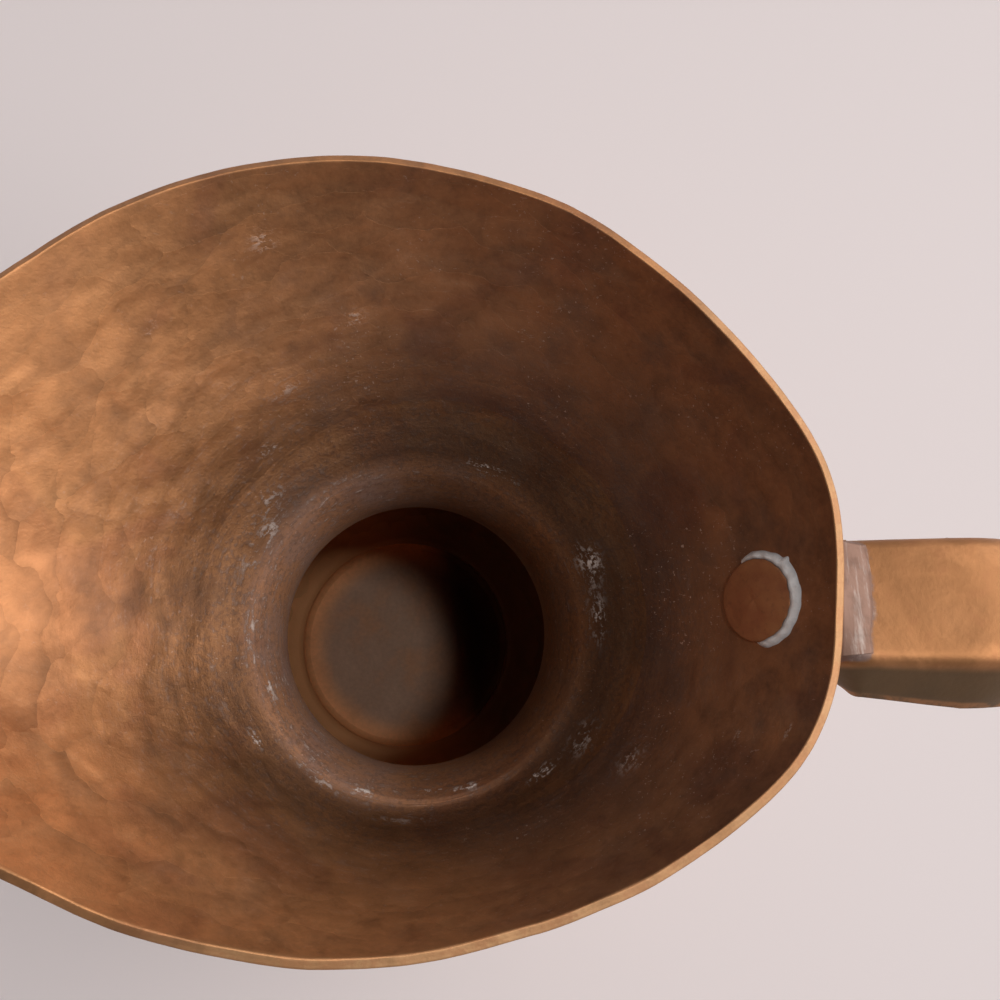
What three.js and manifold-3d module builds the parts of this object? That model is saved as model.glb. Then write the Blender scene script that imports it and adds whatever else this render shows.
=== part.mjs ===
// A hammered copper jug with a narrow neck, a wide mouth drawn out into a pouring lip, and a folded
// strap handle. Lengths are in millimetres and Z is up. The origin is on the jug's axis at its
// underside, the handle lies towards +X and the lip towards -X.
import * as THREE from 'three';
import { mergeVertices } from 'three/addons/utils/BufferGeometryUtils.js';
import Module from 'manifold-3d';

const wasm = await Module();
wasm.setup();

const flat = (x, y) => new THREE.Vector2(x, y);
const space = (x, y, z) => new THREE.Vector3(x, y, z);

// Sheet thicknesses and the clearance between pieces that touch
const BODY_SHEET = 1.3;
const MOUTH_SHEET = 1.5;
const HANDLE_SHEET = 1.2;
const BASE_SHEET = 1.4;
const SEAT = 0.3;

// Belly: foot, widest ring, and how full the curves below and above it are
const FOOT_RADIUS = 36;
const FOOT_SPREAD = 14;
const FOOT_LIFT = 6;
const BELLY_RADIUS = 67;
const BELLY_LEVEL = 70;
const LOWER_FULLNESS = 32;
const SHOULDER_FULLNESS = 42;
const NECK_SWEEP = 18;

// Neck: narrowest ring (inside), and the trumpet lip that the mouth sits on
const NECK_BORE = 24.3;
const NECK_LEVEL = 166;
const NECK_LENGTH = 3;
const FLARE_ARC = 15.5;
const FLARE_TURN = THREE.MathUtils.degToRad(46);
const LIP_SETBACK = THREE.MathUtils.degToRad(5);

// Base pan: a flat disc with an upturned edge round the foot
const PAN_EDGE = 6;
const PAN_ROUNDING = 1.2;

// Mouth: its height over the narrowest ring, the rise of the lip, and how bowl-like the wall is
const MOUTH_RISE = 50;
const LIP_RISE = 9;
const BOWL_AT_HANDLE = 0.45;
const BOWL_AT_LIP = -0.1;
const COLLAR_DEPTH = 3;
const EDGE_EASING = THREE.MathUtils.degToRad(22);
// The beaten edge of the mouth seen from above, anticlockwise from the handle
const MOUTH_EDGE = [
  [60.1, 3.2], [59.7, 20.4], [51.8, 35.2], [37.5, 50.8], [19.5, 62.6], [-4, 67.8], [-25, 65.4],
  [-43.5, 57.2], [-60.5, 43.4], [-78, 27.4], [-92.5, 13.2], [-100.5, 1.2], [-92.5, -8.2],
  [-74, -19], [-54.5, -28.8], [-34.5, -38.6], [-11.2, -43.8], [11, -41.7], [31.3, -35],
  [48.7, -23.7], [57.2, -12],
];

// Handle: a strap folded into an open channel, leaving level just under the rim
const HANDLE_SIDE = 3.6;
const STRAP_WIDTH_ROOT = 18.6;
const STRAP_WIDTH_BEND = 19.2;
const STRAP_WIDTH_FOOT = 16;
const FLANGE_ROOT = 8.2;
const FLANGE_BEND = 10.6;
const FLANGE_FOOT = 6.6;
const FLANGE_SPLAY = THREE.MathUtils.degToRad(22);
const FLANGE_RISE = 0.33;
const FOLD_RADIUS = 1.1;
const STRAP_ROLL = THREE.MathUtils.degToRad(18);
const STRAP_DROP = 3;
const STRAP_CLIMB = THREE.MathUtils.degToRad(6);
const STRAP_RUN = 21;
const TAB_LENGTH = 17;
const ROOT_BEND = 5.5;
const LOOP_REACH = 28;
const LOOP_SWELL_OUT = 52;
const LOOP_SWELL_UP = 50;
const FOOT_TOP = 102;
const FOOT_LENGTH = 26;
const FOOT_BEND = 9;

// Rivets, and the tin that seals them inside
const UPPER_HEAD = 6.55;
const UPPER_DROP = 14;
const UPPER_SIDE = 3.9;
const LOWER_HEAD = 4.6;
const LOWER_DROP = 6;
const LOWER_SPACING = 13;
const SHANK = 3;
const HEAD_THICKNESS = 1.1;
const DOME_RADIUS = 5.2;
const DOME_HEIGHT = 2.6;
const DOME_STEPS = 4;
const HEAD_ROUNDING = 0.4;
const TIN_HEIGHT = 0.9;
const TIN_SPREAD = 1.1;
const UPPER_TIN_SPREAD = flat(2.05, 1.55);
const UPPER_TIN_SHIFT = flat(0.3, 1.1);
const BELLY_HOLLOW_SHARE = 0.49;
const MOUTH_HOLLOW = 60;

// Solder: the length of its legs on the two pieces that it joins, and how hollow it lies between them
const BASE_SOLDER_LEG = 2.6;
const BASE_SOLDER_HOLLOW = 0.9;
const COLLAR_SOLDER_LEG = 1.9;
const COLLAR_SOLDER_NOSE = 0.6;
const THROAT_SOLDER_LEG = 0.055;
const ROOT_SOLDER_HEAPED = 0.7;
const ROOT_SOLDER_TOP = 0.9;

// Facets
const ROUND_STEPS = 54;
const MOUTH_STEPS = 66;
const RIVET_STEPS = 20;
const BELLY_CURVE_STEPS = 8;
const FLARE_STEPS = 3;
const WALL_STEPS = 7;
const LOOP_STEPS = 20;
const EDGE_SAMPLES = 720;

// Finishes
const finish = (color, roughness, metalness) =>
  new THREE.MeshStandardMaterial({ color, roughness, metalness });
const BELLY_COPPER = finish(0x9a5f3c, 0.42, 1);
const MOUTH_COPPER = finish(0xa5693f, 0.4, 1);
const HANDLE_COPPER = finish(0xb87a50, 0.38, 1);
const RIVET_COPPER = finish(0x8f553a, 0.45, 1);
const TINNED_COPPER = finish(0x8d8176, 0.5, 1);
const TIN = finish(0xc4c1ba, 0.35, 1);


// A line of flat points moved to its left by a distance, each point along the mean of its edges' normals
function offsetLine(points, distance) {
  return points.map((point, i) => {
    const before = points[Math.max(i - 1, 0)];
    const after = points[Math.min(i + 1, points.length - 1)];
    const into = point.clone().sub(before).normalize();
    const out = after.clone().sub(point).normalize();
    const along = into.clone().add(out).normalize();
    const spread = i > 0 && i < points.length - 1 ? along.dot(into) : 1;
    return flat(point.x - (along.y * distance) / spread, point.y + (along.x * distance) / spread);
  });
}

// A closed profile of radius and height turned round Z
function turned(profile, steps = ROUND_STEPS) {
  const geometry = new THREE.LatheGeometry([...profile, profile[0]], steps);
  return geometry.rotateX(Math.PI / 2);
}

// Rows of points skinned into one closed surface. Each row closes on itself. The last row joins the
// first, or both are capped by rungs between the two sides of the row.
function skinned(rows, capped = false) {
  const count = rows[0].length;
  const positions = rows.flat().flatMap((p) => [p.x, p.y, p.z]);
  const indices = [];
  const bands = capped ? rows.length - 1 : rows.length;
  for (let i = 0; i < bands; i += 1) {
    const here = i * count;
    const next = ((i + 1) % rows.length) * count;
    for (let j = 0; j < count; j += 1) {
      const k = (j + 1) % count;
      indices.push(here + j, here + k, next + k, here + j, next + k, next + j);
    }
  }
  if (capped) {
    const last = (rows.length - 1) * count;
    for (let j = 0; j < count / 2 - 1; j += 1) {
      const k = count - 1 - j;
      indices.push(j, k, k - 1, j, k - 1, j + 1);
      indices.push(last + j, last + k - 1, last + k, last + j, last + j + 1, last + k - 1);
    }
  }
  const geometry = new THREE.BufferGeometry();
  geometry.setAttribute('position', new THREE.Float32BufferAttribute(positions, 3));
  geometry.setIndex(indices);
  return geometry;
}

function toSolid(geometry) {
  const bare = geometry.clone();
  bare.deleteAttribute('normal');
  bare.deleteAttribute('uv');
  const merged = mergeVertices(bare, 1e-4);
  const triVerts = Uint32Array.from(merged.index.array);
  const vertProperties = Float32Array.from(merged.attributes.position.array);
  return new wasm.Manifold(new wasm.Mesh({ numProp: 3, vertProperties, triVerts }));
}

function toGeometry(solid) {
  const { vertProperties, triVerts } = solid.getMesh();
  const geometry = new THREE.BufferGeometry();
  geometry.setAttribute('position', new THREE.BufferAttribute(vertProperties, 3));
  geometry.setIndex(new THREE.BufferAttribute(triVerts, 1));
  return geometry;
}

// A sheet with round holes cut at the given places
function pierced(geometry, places, radius) {
  const drill = new THREE.CylinderGeometry(radius, radius, 12, RIVET_STEPS).rotateX(Math.PI / 2);
  const holes = places.map((place) => toSolid(drill.clone().applyMatrix4(place)));
  return toGeometry(holes.reduce((sheet, hole) => sheet.subtract(hole), toSolid(geometry)));
}

function mesh(name, geometry, material, place = null) {
  const piece = new THREE.Mesh(geometry, material);
  piece.name = name;
  if (place) place.decompose(piece.position, piece.quaternion, piece.scale);
  return piece;
}

// Belly: the outside line from the foot up to the flared lip of the neck
const neckOutside = NECK_BORE + BODY_SHEET;
const neckFoot = NECK_LEVEL - NECK_LENGTH;
const bellyFoot = BASE_SHEET + SEAT;
const lowerCurve = new THREE.CubicBezierCurve(
  flat(FOOT_RADIUS, PAN_EDGE + SEAT),
  flat(FOOT_RADIUS + FOOT_SPREAD, PAN_EDGE + FOOT_LIFT),
  flat(BELLY_RADIUS, BELLY_LEVEL - LOWER_FULLNESS),
  flat(BELLY_RADIUS, BELLY_LEVEL),
);
const shoulderCurve = new THREE.CubicBezierCurve(
  flat(BELLY_RADIUS, BELLY_LEVEL),
  flat(BELLY_RADIUS, BELLY_LEVEL + SHOULDER_FULLNESS),
  flat(neckOutside, neckFoot - NECK_SWEEP),
  flat(neckOutside, neckFoot),
);

// A point of the neck's trumpet lip, at an angle of its arc and a distance outside the bore's surface
function flarePoint(angle, outside = 0) {
  const radius = FLARE_ARC - outside;
  return flat(
    NECK_BORE + FLARE_ARC - radius * Math.cos(angle),
    NECK_LEVEL + radius * Math.sin(angle),
  );
}

function flareLine(turnTo, outside, steps) {
  return Array.from({ length: steps + 1 }, (_, i) => flarePoint((turnTo * i) / steps, outside));
}

function bellyOutline(curveSteps, flareSteps) {
  return [
    flat(FOOT_RADIUS, bellyFoot),
    ...lowerCurve.getPoints(curveSteps),
    ...shoulderCurve.getPoints(curveSteps).slice(1),
    ...flareLine(FLARE_TURN, BODY_SHEET, flareSteps),
  ];
}

const bellyLine = bellyOutline(BELLY_CURVE_STEPS, FLARE_STEPS);
const fineBellyLine = bellyOutline(60, 12);

function bellyProfile() {
  return [...bellyLine, ...offsetLine(bellyLine, BODY_SHEET).reverse()];
}

// The radius and outward slope of a belly line at a height
function bellyAt(level, line = fineBellyLine) {
  const i = line.findIndex((p, n) => n > 1 && p.y >= level);
  const [low, high] = [line[i - 1], line[i]];
  const share = (level - low.y) / (high.y - low.y);
  const outward = flat(high.y - low.y, low.x - high.x).normalize();
  return { radius: low.x + (high.x - low.x) * share, outward };
}

// Mouth: the edge is one closed curve, looked up by bearing from the jug's axis
const rimLevel = NECK_LEVEL + MOUTH_RISE;
const edgeMarks = MOUTH_EDGE.map(([x, y]) => space(x, y, 0));
const edgeCurve = new THREE.CatmullRomCurve3(edgeMarks, true, 'catmullrom', 0.5);
const edgePoints = edgeCurve.getSpacedPoints(EDGE_SAMPLES).slice(0, EDGE_SAMPLES);
const turn = (angle) => THREE.MathUtils.euclideanModulo(angle, 2 * Math.PI);
const edgeBearings = edgePoints.map((p) => turn(Math.atan2(p.y, p.x)));

function edgeReach(bearing) {
  const wanted = turn(bearing);
  const at = edgeBearings.findIndex((b, i) => {
    const ahead = turn(edgeBearings[(i + 1) % EDGE_SAMPLES] - b);
    return turn(wanted - b) <= ahead;
  });
  const next = (at + 1) % EDGE_SAMPLES;
  const share = turn(wanted - edgeBearings[at]) / turn(edgeBearings[next] - edgeBearings[at]);
  return THREE.MathUtils.lerp(edgePoints[at].length(), edgePoints[next].length(), share);
}

// 0 towards the handle, 1 towards the lip
const lipward = (bearing) => (1 - Math.cos(bearing)) / 2;
const rimHeight = (bearing) => rimLevel + LIP_RISE * lipward(bearing) ** 3;

// The edge's reach evened out over the bearings on both sides
const EASING_WEIGHTS = [1, 2, 3, 2, 1];
function evenReach(bearing) {
  const total = EASING_WEIGHTS.reduce((sum, weight) => sum + weight, 0);
  return EASING_WEIGHTS.reduce((sum, weight, i) => {
    const aside = (i / 2 - 1) * EDGE_EASING;
    return sum + (weight / total) * edgeReach(bearing + aside);
  }, 0);
}

// The funnel starts outside the neck's lip. Its wall runs from there to the edge along a shallow
// bowl: the share of the way out is t + bowl t (1 - t) at the share t of the way up. The lower the
// wall, the more evenly it runs round.
const seamTurn = FLARE_TURN + LIP_SETBACK;
const seam = flarePoint(seamTurn, BODY_SHEET + SEAT + MOUTH_SHEET);
const collarFoot = NECK_LEVEL - COLLAR_DEPTH;

function wallPoint(bearing, t) {
  const bowl = THREE.MathUtils.lerp(BOWL_AT_HANDLE, BOWL_AT_LIP, lipward(bearing) ** 2);
  const out = t + bowl * t * (1 - t);
  const reach = THREE.MathUtils.lerp(evenReach(bearing), edgeReach(bearing), t * t);
  const radius = seam.x + (reach - seam.x) * out;
  const height = seam.y + (rimHeight(bearing) - seam.y) * t;
  return space(radius * Math.cos(bearing), radius * Math.sin(bearing), height);
}

function wallNormal(bearing, t) {
  const round = wallPoint(bearing + 0.01, t).sub(wallPoint(bearing - 0.01, t));
  const up = wallPoint(bearing, t + 0.01).sub(wallPoint(bearing, t - 0.01));
  return round.cross(up).normalize();
}

// The outside of the wall at a distance beside the XZ plane and a height, with its outward normal
function wallAt(side, level) {
  let bearing = side / edgeReach(0);
  let point = space(0, 0, 0);
  let t = 0;
  for (let i = 0; i < 8; i += 1) {
    t = (level - seam.y) / (rimHeight(bearing) - seam.y);
    point = wallPoint(bearing, t);
    bearing = Math.atan2(side, point.x);
  }
  return { point, outward: wallNormal(bearing, t) };
}

const edgeStations = edgeCurve.getSpacedPoints(MOUTH_STEPS).slice(0, MOUTH_STEPS);
const mouthBearings = edgeStations.map((p) => Math.atan2(p.y, p.x));
const roundAxis = (bearing, p) => space(p.x * Math.cos(bearing), p.x * Math.sin(bearing), p.y);

function funnelGeometry() {
  const collar = [
    flat(neckOutside + SEAT + MOUTH_SHEET, collarFoot),
    ...flareLine(seamTurn, BODY_SHEET + SEAT + MOUTH_SHEET, FLARE_STEPS).slice(0, -1),
  ];
  const wallShares = Array.from({ length: WALL_STEPS + 1 }, (_, i) => i / WALL_STEPS);
  const outside = [
    ...collar.map((p) => mouthBearings.map((b) => roundAxis(b, p))),
    ...wallShares.map((t) => mouthBearings.map((b) => wallPoint(b, t))),
  ];
  const inside = outside.map((row, i) => row.map((point, j) => {
    const round = row[(j + 1) % MOUTH_STEPS].clone().sub(row[(j + MOUTH_STEPS - 1) % MOUTH_STEPS]);
    const above = outside[Math.min(i + 1, outside.length - 1)][j];
    const below = outside[Math.max(i - 1, 0)][j];
    const outward = round.cross(above.clone().sub(below)).normalize();
    return point.clone().addScaledVector(outward, -MOUTH_SHEET);
  }));
  return skinned([...outside, ...inside.reverse()]);
}

// Handle: the line that the strap's outer face follows, from the tab under the rim to the foot. The
// tab and the foot follow the surfaces that they lie on through four marks each. A bend's two ends
// lie at the share BEND_LEG of its size from its corner.
const BEND_LEG = 0.8;
const QUARTERS = [0, 0.33, 0.67, 1];

function handleRoute() {
  const tabTop = rimLevel - STRAP_DROP - ROOT_BEND;
  const tabLine = [...QUARTERS].reverse().map((share) => {
    const { point, outward } = wallAt(HANDLE_SIDE, tabTop - TAB_LENGTH * share);
    return point.addScaledVector(outward, SEAT).setY(HANDLE_SIDE);
  });
  const tab = new THREE.CatmullRomCurve3(tabLine);
  const rise = tab.getTangent(1);
  const top = tabLine[3];
  const strapLevel = rimLevel - STRAP_DROP;
  const rootCorner = top.clone().addScaledVector(rise, (strapLevel - top.z) / rise.z);
  const strapWay = space(Math.cos(STRAP_CLIMB), 0, Math.sin(STRAP_CLIMB));
  const strapStart = rootCorner.clone().addScaledVector(strapWay, ROOT_BEND * BEND_LEG);
  const strapEnd = strapStart.clone().addScaledVector(strapWay, STRAP_RUN - ROOT_BEND);
  const footLine = QUARTERS.map((share) => {
    const level = FOOT_TOP - FOOT_LENGTH * share;
    const { radius, outward } = bellyAt(level);
    const away = SEAT + HANDLE_SHEET;
    const across = Math.sqrt(radius ** 2 - HANDLE_SIDE ** 2);
    return space(across + outward.x * away, HANDLE_SIDE, level + outward.y * away);
  });
  const foot = new THREE.CatmullRomCurve3(footLine);
  const fall = foot.getTangent(0);
  const footCorner = footLine[0].clone().addScaledVector(fall, -FOOT_BEND * BEND_LEG);
  const landing = footCorner.clone().add(space(FOOT_BEND * BEND_LEG, 0, FOOT_BEND * BEND_LEG));
  const loop = new THREE.CubicBezierCurve3(
    strapEnd,
    strapEnd.clone().addScaledVector(strapWay, LOOP_REACH),
    landing.clone().add(space(LOOP_SWELL_OUT, 0, LOOP_SWELL_UP)),
    landing,
  );
  return [
    { curve: tab, steps: 6, part: 'tab' },
    { curve: new THREE.QuadraticBezierCurve3(top, rootCorner, strapStart), steps: 5, part: 'root' },
    { curve: new THREE.LineCurve3(strapStart, strapEnd), steps: 3, part: 'strap' },
    { curve: loop, steps: LOOP_STEPS, part: 'loop' },
    { curve: new THREE.QuadraticBezierCurve3(landing, footCorner, footLine[0]), steps: 5, part: 'bend' },
    { curve: foot, steps: 8, part: 'foot' },
  ];
}

const smooth = (x) => THREE.MathUtils.smoothstep(x, 0, 1);
const mix = THREE.MathUtils.lerp;

// How far towards +X the wall and the belly lie beside the strap's middle line, at a level
const wallReach = (side, level) => wallAt(HANDLE_SIDE + side, level).point.x;
const bellyReach = (side, level) => Math.sqrt(bellyAt(level).radius ** 2 - (HANDLE_SIDE + side) ** 2);

// Width, flange depth and roll of the strap along each part of its route, and how much it hugs
// the surface that it lies on
const strapForms = {
  tab: (s) => ({
    width: rounded(STRAP_WIDTH_ROOT, s * TAB_LENGTH),
    flange: 0,
    roll: 0,
    hug: 1,
    surface: wallReach,
  }),
  root: (s) => ({
    width: STRAP_WIDTH_ROOT,
    flange: FLANGE_ROOT * smooth(s / FLANGE_RISE),
    roll: STRAP_ROLL * smooth(s),
    hug: 1 - smooth(s),
    surface: wallReach,
  }),
  strap: (s) => ({
    width: mix(STRAP_WIDTH_ROOT, STRAP_WIDTH_BEND, s),
    flange: mix(FLANGE_ROOT, FLANGE_BEND, s),
    roll: STRAP_ROLL,
    hug: 0,
  }),
  loop: (s) => ({
    width: mix(STRAP_WIDTH_BEND, STRAP_WIDTH_FOOT, s * s),
    flange: mix(FLANGE_BEND, FLANGE_FOOT, s * s),
    roll: STRAP_ROLL * (1 - smooth(s * 1.4)),
    hug: 0,
  }),
  bend: (s) => ({
    width: STRAP_WIDTH_FOOT,
    flange: FLANGE_FOOT * (1 - smooth(s)),
    roll: 0,
    hug: smooth(s),
    surface: bellyReach,
  }),
  foot: (s) => ({
    width: rounded(STRAP_WIDTH_FOOT, (1 - s) * FOOT_LENGTH),
    flange: 0,
    roll: 0,
    hug: 1,
    surface: bellyReach,
  }),
};

// The width near a rounded end of the strap, at a distance from that end. The very end is cut flat
// over the share END_FLAT of the width.
const END_FLAT = 0.3;
function rounded(width, distance) {
  const left = Math.max(1 - distance / (width / 2), 0);
  return width * Math.max(Math.sqrt(1 - left * left), END_FLAT);
}

// The channel's closed section: its face on the X axis, a flange leaning out below each end, the
// corners folded round outside and sharp inside. Without flanges the sheet keeps a thin straight edge.
const LEAST_FLANGE = 0.05;
const ARC_CUT = 1 - Math.SQRT1_2;
function channelSection(width, flange) {
  const depth = Math.max(flange, HANDLE_SHEET + LEAST_FLANGE);
  const lean = Math.tan(FLANGE_SPLAY);
  const slant = Math.hypot(1, lean);
  const fold = Math.min(FOLD_RADIUS, depth / 2);
  const half = width / 2;
  const inside = half + HANDLE_SHEET * (lean - (1 + lean * lean) / slant);
  const below = depth - HANDLE_SHEET;
  const outer = [
    flat(half + depth * lean, -depth),
    flat(half + fold * lean, -fold),
    flat(half - fold * ARC_CUT, -fold * ARC_CUT),
    flat(half - fold, 0),
    flat(half / 2, 0),
  ];
  const inner = [
    flat(inside + below * lean, -depth),
    flat(inside + (below * lean) / 3, -HANDLE_SHEET - below / 3),
    flat(inside, -HANDLE_SHEET),
    flat(inside - fold, -HANDLE_SHEET),
    flat(half / 2, -HANDLE_SHEET),
  ];
  const mirror = (points) => points.map((p) => flat(-p.x, p.y)).reverse();
  const across = (points, level) => [...points, flat(0, level), ...mirror(points)];
  return [...across(outer, 0), ...across(inner, -HANDLE_SHEET).reverse()];
}

const route = handleRoute();

// The strap's form at the share s of one part of its route
function stationAt({ curve, part }, s) {
  return { point: curve.getPointAt(s), tangent: curve.getTangentAt(s), ...strapForms[part](s) };
}

// A point beside the route's line and above the strap's outer face, rolled and bent with it
function onStrap({ point, tangent, roll, hug, surface }, side, above) {
  const face = space(-tangent.z, 0, tangent.x);
  const bent = hug > 0 ? hug * (surface(side, point.z) - surface(0, point.z)) * face.x : 0;
  const lift = above + bent;
  const across = side * Math.cos(roll) + lift * Math.sin(roll);
  const up = lift * Math.cos(roll) - side * Math.sin(roll);
  return point.clone().addScaledVector(space(0, 1, 0), across).addScaledVector(face, up);
}

function handleGeometry() {
  const stations = route.flatMap((stretch, index) => {
    const first = index === 0 ? 0 : 1;
    const { steps } = stretch;
    return Array.from({ length: steps + 1 - first }, (_, i) => stationAt(stretch, (i + first) / steps));
  });
  const rows = stations.map((station) => (
    channelSection(station.width, station.flange).map((p) => onStrap(station, p.x, p.y))
  ));
  return skinned(rows, true);
}

// A place on a surface: its Z looks along the outward normal, its X lies level and its Y up the wall
function placeOn(point, outward) {
  const across = space(0, 1, 0).projectOnPlane(outward).normalize();
  const up = outward.clone().cross(across);
  return new THREE.Matrix4().makeBasis(across, up, outward).setPosition(point);
}

// How far inside the sheet's inner face a flat piece of a given radius clears the hollow wall
const hollowSeat = (radius, hollow) => 2 * SEAT + (radius * radius) / (2 * hollow);

// A rivet through two sheets: a flat head inside, a shank, and a dome outside the handle
function rivetGeometry(headRadius, inner) {
  const outer = HANDLE_SHEET + 2 * SEAT;
  const dome = Array.from({ length: DOME_STEPS }, (_, i) => {
    const angle = (Math.PI / 2) * (i / DOME_STEPS);
    return flat(DOME_RADIUS * Math.cos(angle), outer + DOME_HEIGHT * Math.sin(angle));
  });
  const profile = [
    flat(0, inner - HEAD_THICKNESS),
    flat(headRadius - HEAD_ROUNDING, inner - HEAD_THICKNESS),
    flat(headRadius, inner - HEAD_THICKNESS + HEAD_ROUNDING),
    flat(headRadius, inner),
    flat(SHANK, inner),
    flat(SHANK, outer),
    ...dome,
    flat(0, outer + DOME_HEIGHT),
  ];
  return new THREE.LatheGeometry(profile, RIVET_STEPS).rotateX(Math.PI / 2);
}

// Tin run round a rivet's head, with its outer edge an ellipse that may lie off the head's centre
function tinGeometry(headRadius, inner, reach, shift) {
  const shape = new THREE.Shape().absellipse(shift.x, shift.y, reach.x, reach.y, 0, 2 * Math.PI);
  shape.holes.push(new THREE.Path().absarc(0, 0, headRadius + SEAT, 0, 2 * Math.PI, true));
  const ring = new THREE.ExtrudeGeometry(shape, {
    depth: TIN_HEIGHT, bevelEnabled: false, curveSegments: RIVET_STEPS / 2,
  });
  return ring.translate(0, 0, inner - TIN_HEIGHT);
}

// Base pan and the solder in its corner
const panInside = FOOT_RADIUS + SEAT;
const panProfile = [
  flat(0, 0),
  flat(panInside + BASE_SHEET - PAN_ROUNDING, 0),
  flat(panInside + BASE_SHEET, PAN_ROUNDING),
  flat(panInside + BASE_SHEET, PAN_EDGE),
  flat(panInside, PAN_EDGE),
  flat(panInside, BASE_SHEET),
  flat(0, BASE_SHEET),
];
const footInside = FOOT_RADIUS - BODY_SHEET - SEAT;
const baseSolderProfile = [
  flat(footInside - BASE_SOLDER_LEG, bellyFoot),
  flat(footInside, bellyFoot),
  flat(footInside, bellyFoot + BASE_SOLDER_LEG),
  flat(footInside - BASE_SOLDER_HOLLOW, bellyFoot + BASE_SOLDER_HOLLOW),
];

// Solder on the edge of the neck's lip inside the mouth, and under the collar outside
const lipEdge = flarePoint(FLARE_TURN, 0);
const lipBack = flarePoint(FLARE_TURN, BODY_SHEET);
const upFlare = flat(Math.sin(FLARE_TURN), Math.cos(FLARE_TURN));
const fromLip = (point, along) => flat(point.x + upFlare.x * along, point.y + upFlare.y * along);
function throatSolderGeometry() {
  const onWall = (bearing, t) => (
    wallPoint(bearing, t).addScaledVector(wallNormal(bearing, t), -MOUTH_SHEET - SEAT)
  );
  return skinned(mouthBearings.map((bearing) => [
    roundAxis(bearing, fromLip(lipEdge, SEAT)),
    onWall(bearing, THROAT_SOLDER_LEG),
    onWall(bearing, 0.01),
    roundAxis(bearing, fromLip(lipBack, SEAT)),
  ]));
}
const collarSolderTop = collarFoot - SEAT;
const collarSolderFoot = collarSolderTop - COLLAR_SOLDER_LEG;
const besideNeck = (level) => bellyAt(level, bellyLine).radius + SEAT;
const collarSolderProfile = [
  flat(besideNeck(collarSolderFoot), collarSolderFoot),
  flat(besideNeck(collarSolderFoot) + COLLAR_SOLDER_NOSE, collarSolderFoot + SEAT),
  flat(neckOutside + SEAT + MOUTH_SHEET, collarSolderTop),
  flat(besideNeck(collarSolderTop), collarSolderTop),
];

// Rivet places
const upperWall = wallAt(UPPER_SIDE, rimLevel - UPPER_DROP);
const upperPlace = placeOn(upperWall.point, upperWall.outward);
const lowerLevels = [0, 1].map((i) => FOOT_TOP - LOWER_DROP - LOWER_SPACING * i);
const lowerPlaces = lowerLevels.map((level) => {
  const { radius, outward } = bellyAt(level);
  const across = Math.sqrt(radius ** 2 - HANDLE_SIDE ** 2);
  return placeOn(space(across, HANDLE_SIDE, level), space(outward.x, 0, outward.y));
});
const hole = SHANK + SEAT;

// Solder in the groove between the strap's bend and the wall under the rim
function rootSolderGeometry() {
  const [, bend, strap] = route;
  const solderWidth = STRAP_WIDTH_ROOT - 2 * FOLD_RADIUS;
  const againstWall = (side, level) => {
    const { point, outward } = wallAt(HANDLE_SIDE + side, level);
    return point.addScaledVector(outward, SEAT);
  };
  const section = (side) => {
    const toe = stationAt(strap, 0.04);
    const heel = onStrap(stationAt(bend, 0.45), side, SEAT);
    const wallFoot = againstWall(side, heel.z + 2 * SEAT);
    const wallTop = againstWall(side, rimLevel - ROOT_SOLDER_TOP);
    return [
      wallFoot,
      wallTop,
      onStrap(stationAt(bend, 0.8), side, SEAT + ROOT_SOLDER_HEAPED),
      onStrap(toe, side, SEAT + 0.2),
      onStrap(toe, side, SEAT),
      onStrap(stationAt(bend, 0.8), side, SEAT),
      onStrap(stationAt(bend, 0.6), side, SEAT),
      heel,
    ];
  };
  const steps = 8;
  const rows = Array.from({ length: steps + 1 }, (_, i) => section((i / steps - 0.5) * solderWidth));
  return skinned(rows, true);
}

const jug = new THREE.Group();
const body = new THREE.Group();
const handleSet = new THREE.Group();
jug.add(body, handleSet);

body.add(
  mesh('base_pan', turned(panProfile), TINNED_COPPER),
  mesh('base_solder', turned(baseSolderProfile), TIN),
  mesh('belly', pierced(turned(bellyProfile()), lowerPlaces, hole), BELLY_COPPER),
  mesh('throat_solder', throatSolderGeometry(), TIN),
  mesh('collar_solder', turned(collarSolderProfile), TIN),
  mesh('mouth_funnel', pierced(funnelGeometry(), [upperPlace], hole), MOUTH_COPPER),
);

const upperInner = -MOUTH_SHEET - hollowSeat(UPPER_HEAD, MOUTH_HOLLOW);
const upperTinReach = flat(UPPER_HEAD + UPPER_TIN_SPREAD.x, UPPER_HEAD + UPPER_TIN_SPREAD.y);
const upperTinInner = -MOUTH_SHEET - hollowSeat(upperTinReach.x, MOUTH_HOLLOW);
handleSet.add(
  mesh('handle', pierced(handleGeometry(), [upperPlace, ...lowerPlaces], hole), HANDLE_COPPER),
  mesh('handle_root_solder', rootSolderGeometry(), TIN),
  mesh('upper_rivet', rivetGeometry(UPPER_HEAD, upperInner), RIVET_COPPER, upperPlace),
  mesh(
    'upper_rivet_tin',
    tinGeometry(UPPER_HEAD, upperTinInner, upperTinReach, UPPER_TIN_SHIFT),
    TIN,
    upperPlace,
  ),
);

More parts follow.
